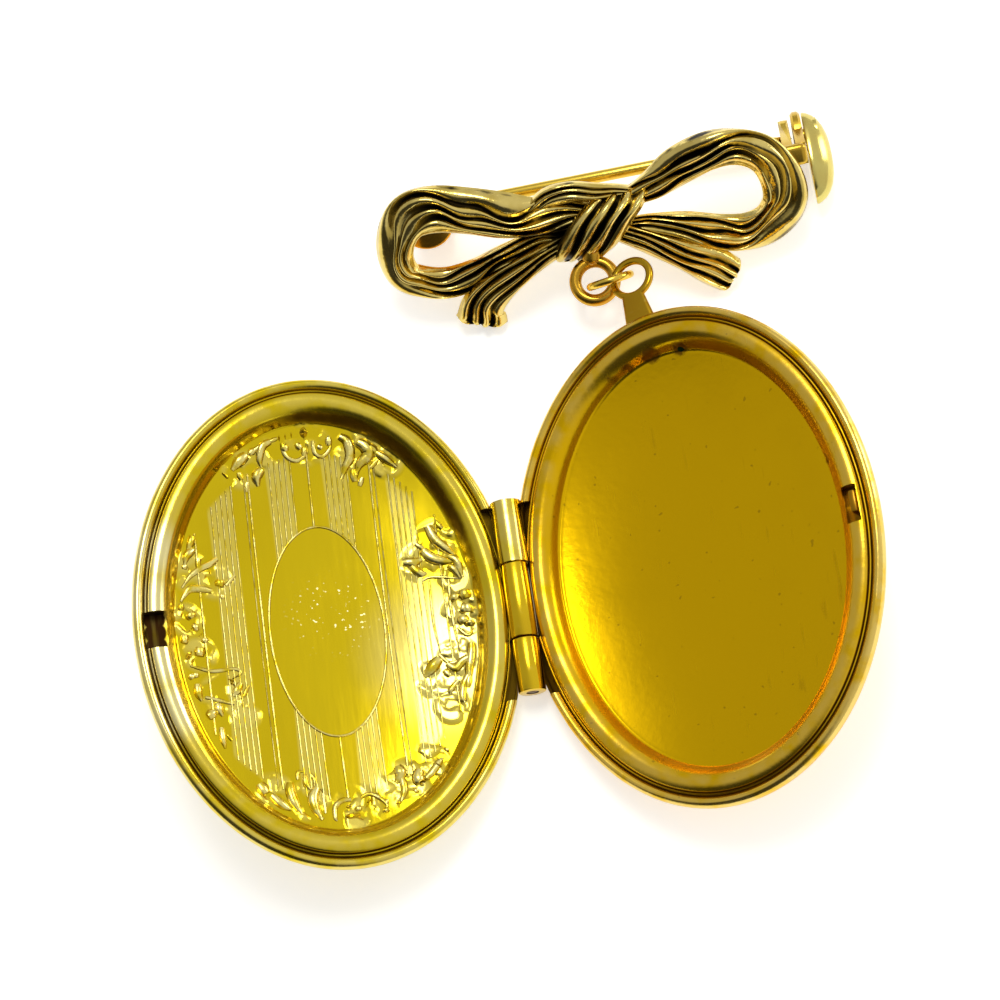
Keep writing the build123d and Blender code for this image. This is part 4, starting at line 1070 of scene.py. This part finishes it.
# Leaves, scrolls and petals: a radius, then places across and along
SCROLLS = (
    # top
    (0.38, -4.8, 14.4, -5.5, 13.9, -6.1, 13.2), (0.28, -2.8, 15.4, -3.5, 15.0, -3.8, 14.0, -3.7, 13.3),
    (0.36, -3.7, 13.2, -4.2, 12.6, -4.1, 11.8), (0.28, -6.6, 12.9, -6.8, 12.7),
    (0.22, -5.6, 13.0, -5.4, 12.4), (0.16, -5.0, 12.2, -5.1, 11.4), (0.25, -4.6, 14.5, -4.1, 14.8),
    (0.15, -3.0, 15.3, -3.9, 14.9, -4.7, 14.4),
    (0.16, -1.9, 15.2, -1.7, 14.2, -0.9, 13.7, -0.0, 14.2, 0.1, 15.0), (0.3, -1.8, 15.1, -1.6, 14.5),
    (0.25, -0.7, 15.1, -0.4, 14.6), (0.16, 0.6, 15.2, 0.7, 14.2, 1.3, 13.9, 2.0, 14.6, 1.9, 15.5),
    (0.25, 1.9, 15.4, 1.9, 14.7), (0.2, 1.0, 14.8, 1.3, 14.5), (0.22, -0.1, 14.7, -0.2, 14.0),
    (0.45, -0.1, 15.9, 0.0, 15.9), (0.2, -1.1, 15.8, -1.0, 15.8), (0.22, -2.1, 15.6, -2.0, 15.6),
    (0.2, -1.6, 15.7, -1.5, 15.7), (0.15, -2.2, 15.6, -2.8, 15.4),
    (0.34, 2.8, 15.4, 3.4, 14.9, 3.5, 13.7, 3.0, 12.8, 2.6, 11.9),
    (0.45, 4.2, 14.8, 4.8, 14.4, 5.0, 13.7, 4.2, 13.0, 3.8, 12.1), (0.35, 4.7, 14.5, 5.4, 14.0, 5.5, 13.4),
    (0.3, 5.6, 13.8, 6.3, 13.2, 7.1, 12.4), (0.2, 5.8, 13.6, 6.6, 12.9, 7.0, 12.4),
    (0.28, 3.6, 12.6, 3.7, 11.6), (0.2, 4.3, 11.9, 4.0, 11.2), (0.18, 5.7, 13.2, 5.0, 12.6),
    # bottom
    (0.42, -6.7, -12.3, -6.3, -13.2), (0.3, -5.9, -13.3, -5.2, -14.1, -4.5, -14.6),
    (0.34, -4.3, -12.4, -4.4, -13.2, -4.1, -14.3, -3.7, -15.0),
    (0.14, -3.7, -12.2, -3.6, -11.6, -3.1, -11.6), (0.2, -3.1, -11.8, -3.1, -12.6, -2.8, -13.1),
    (0.14, -2.7, -11.8, -2.4, -12.3, -2.5, -12.9),
    (0.36, -2.3, -13.0, -2.7, -13.8, -2.6, -14.8, -2.2, -15.6), (0.12, -1.9, -13.5, -1.9, -15.1),
    (0.18, 0.2, -14.2, -0.5, -14.2, -1.1, -14.7, -1.2, -15.6, -1.1, -15.8), (0.5, 0.2, -15.3, 0.2, -15.8),
    (0.25, 0.6, -14.8, 0.7, -15.2), (0.15, 1.0, -14.1, 1.6, -13.9, 2.4, -14.3, 2.9, -15.0, 2.5, -15.5),
    (0.3, 1.5, -14.4, 1.6, -14.5), (0.25, 1.3, -14.8, 1.4, -14.9), (0.2, 1.8, -15.1, 1.9, -15.2),
    (0.18, 2.8, -14.9, 3.0, -14.5), (0.2, 2.6, -15.4, 3.0, -15.3), (0.2, -0.1, -14.6, -0.0, -14.8),
    (0.4, 4.1, -11.9, 4.3, -12.6, 3.8, -13.3), (0.26, 4.3, -12.7, 4.4, -13.9, 4.0, -14.8),
    (0.14, 4.5, -12.2, 4.9, -12.7), (0.42, 5.8, -12.4, 5.6, -13.1, 5.8, -13.6, 5.8, -13.7),
    (0.2, 5.4, -14.0, 5.1, -14.2), (0.26, 6.2, -13.2, 6.8, -12.7, 7.4, -12.0, 7.7, -11.7),
    (0.2, 7.2, -12.2, 7.6, -11.8), (0.3, 7.3, -12.1, 7.1, -12.4), (0.2, 8.0, -11.2, 8.2, -11.0),
    (0.2, 3.8, -14.8, 3.8, -15.0),
    # right
    (0.35, 9.0, 7.3, 9.5, 6.1, 10.3, 5.2, 10.9, 4.5), (0.2, 9.7, 7.5, 10.1, 6.9),
    (0.38, 8.4, 5.4, 9.0, 4.7, 9.9, 4.3, 10.8, 4.1), (0.2, 7.9, 6.0, 8.4, 5.5),
    (0.35, 6.7, 4.6, 7.6, 4.5, 8.3, 4.7), (0.3, 7.3, 4.3, 7.9, 3.6, 8.5, 3.4),
    (0.3, 10.3, 4.6, 10.9, 4.2, 11.1, 3.5, 11.2, 2.8), (0.25, 10.9, 4.4, 11.0, 3.6, 11.2, 2.7),
    (0.25, 10.2, 3.9, 10.7, 3.4, 11.0, 2.7), (0.12, 8.1, 2.9, 8.7, 3.1, 10.0, 2.9, 11.1, 2.6),
    (0.1, 8.6, 2.9, 8.5, -0.5, 8.7, -3.2), (0.12, 10.1, 2.7, 10.0, 0.0, 10.2, -3.4),
    (0.14, 8.6, -3.3, 9.3, -4.1, 10.3, -3.9, 11.1, -3.2), (0.4, 10.3, 1.5, 10.5, 0.9),
    (0.42, 11.2, 1.7, 11.3, 0.9), (0.38, 11.3, 1.6, 11.3, 1.1), (0.4, 10.7, 0.3, 11.2, 0.1),
    (0.35, 11.3, 0.5, 11.3, -0.2), (0.42, 10.8, -0.4, 10.9, -1.1), (0.38, 11.3, -0.9, 11.3, -1.4),
    (0.33, 11.3, -0.8, 11.3, -1.3), (0.14, 10.3, -1.3, 10.9, -2.0, 11.3, -1.9, 11.3, -1.4),
    (0.4, 8.6, -3.6, 7.9, -4.3, 7.2, -5.0), (0.3, 9.1, -4.1, 9.7, -4.6, 10.3, -4.1, 11.0, -3.7, 11.1, -2.9),
    (0.25, 8.8, -4.6, 9.2, -5.2), (0.3, 11.2, -2.7, 11.1, -3.5, 10.8, -4.6, 10.6, -5.5, 10.2, -6.2),
    (0.25, 10.8, -5.0, 10.2, -5.9, 9.9, -7.0, 10.0, -7.4, 10.0, -7.5), (0.25, 10.7, -5.3, 10.4, -6.3),
    (0.2, 9.8, -5.6, 9.1, -6.3, 9.0, -6.7),
    # left
    (0.25, -9.8, 8.0, -10.0, 7.4, -10.3, 6.8), (0.28, -9.8, 6.9, -10.4, 6.4, -10.6, 5.7),
    (0.2, -10.6, 5.7, -10.7, 5.3), (0.22, -8.0, 6.1, -8.6, 5.7, -9.5, 5.3, -10.3, 4.7, -11.0, 3.8),
    (0.2, -9.5, 6.2, -9.6, 5.3), (0.2, -8.7, 5.0, -8.6, 5.0), (0.36, -7.9, 4.4, -8.1, 3.8),
    (0.14, -6.7, 4.7, -7.5, 3.9), (0.2, -7.9, 3.2, -7.9, 2.8),
    (0.26, -8.7, 3.5, -9.6, 3.7, -10.4, 3.7, -10.8, 3.3, -11.2, 2.7), (0.22, -11.2, 2.5, -11.3, 2.0),
    (0.4, -10.7, 1.8, -10.4, 1.3), (0.3, -10.5, 0.5, -10.1, 0.7), (0.25, -10.8, 0.4, -10.7, 0.3),
    (0.3, -11.2, -0.0, -11.3, -0.7), (0.2, -10.7, -1.0, -10.7, -1.0), (0.36, -10.1, -1.0, -10.2, -1.8),
    (0.25, -9.7, -0.3, -9.6, -0.7), (0.38, -11.1, -1.6, -11.0, -1.7), (0.2, -10.8, 2.2, -10.8, 2.2),
    (0.18, -10.0, -0.0, -9.9, -0.1), (0.13, -11.0, -2.5, -9.4, -3.0, -7.6, -2.9, -7.1, -3.3, -7.8, -3.7),
    (0.22, -7.9, -3.7, -8.0, -3.9), (0.25, -11.1, -3.2, -10.9, -3.6), (0.22, -10.7, -3.1, -10.6, -3.5),
    (0.28, -10.6, -4.0, -10.6, -4.8, -10.4, -5.4), (0.28, -7.2, -4.1, -7.6, -4.7, -7.9, -5.1),
    (0.15, -6.6, -4.3, -7.1, -5.2), (0.14, -10.1, -5.1, -9.0, -5.4, -7.9, -5.8),
    (0.26, -9.2, -5.6, -9.1, -6.2, -8.9, -6.7), (0.36, -9.5, -6.3, -10.1, -6.7),
    (0.22, -9.1, -7.6, -9.1, -8.5, -9.0, -9.3), (0.12, -8.7, -8.2, -8.4, -8.7),
)


def motif_lines():
    strokes = []
    for radius, *places in SCROLLS:
        radius *= 1.45
        points = list(zip(places[::2], places[1::2]))
        if len(points) > 2:
            strokes.append(curl(points, radius))
        else:
            (x0, y0), (x1, y1) = points
            strokes.append([(x0, y0, radius * 0.7), ((x0 + x1) / 2, (y0 + y1) / 2, radius), (x1, y1, radius * 0.7)])
    return strokes


leaves = motif_lines()


inner_lines = join("cover_ornament_inside", laid(plain_lines, floor_level, 0.1), laid(leaves, floor_level, -0.35))
relief = Paint(bpy.data.materials.new("ornament_gold"))
relief_tone = relief.mix(relief.step(relief.noise(0.001, 3.0), 0.35, 0.6), (0.76, 0.56, 0.02), (0.90, 0.76, 0.24))
relief_tone, relief_grime_and_shade = aged_and_shaded(relief, relief_tone)
ornament_gold = relief.metal(relief_tone, 0.22 + relief_grime_and_shade * 0.2, relief.noise(0.0005, 2.0), 0.00003)
finish(inner_lines, COVER_PLACE, "cover", ornament_gold, 60)
outer_lines = join("cover_ornament_outside", laid(plain_lines, dome_depth, 0.1, -1), laid(leaves, dome_depth, -0.35, -1))
finish(outer_lines, COVER_PLACE, "cover", ornament_gold, 60)
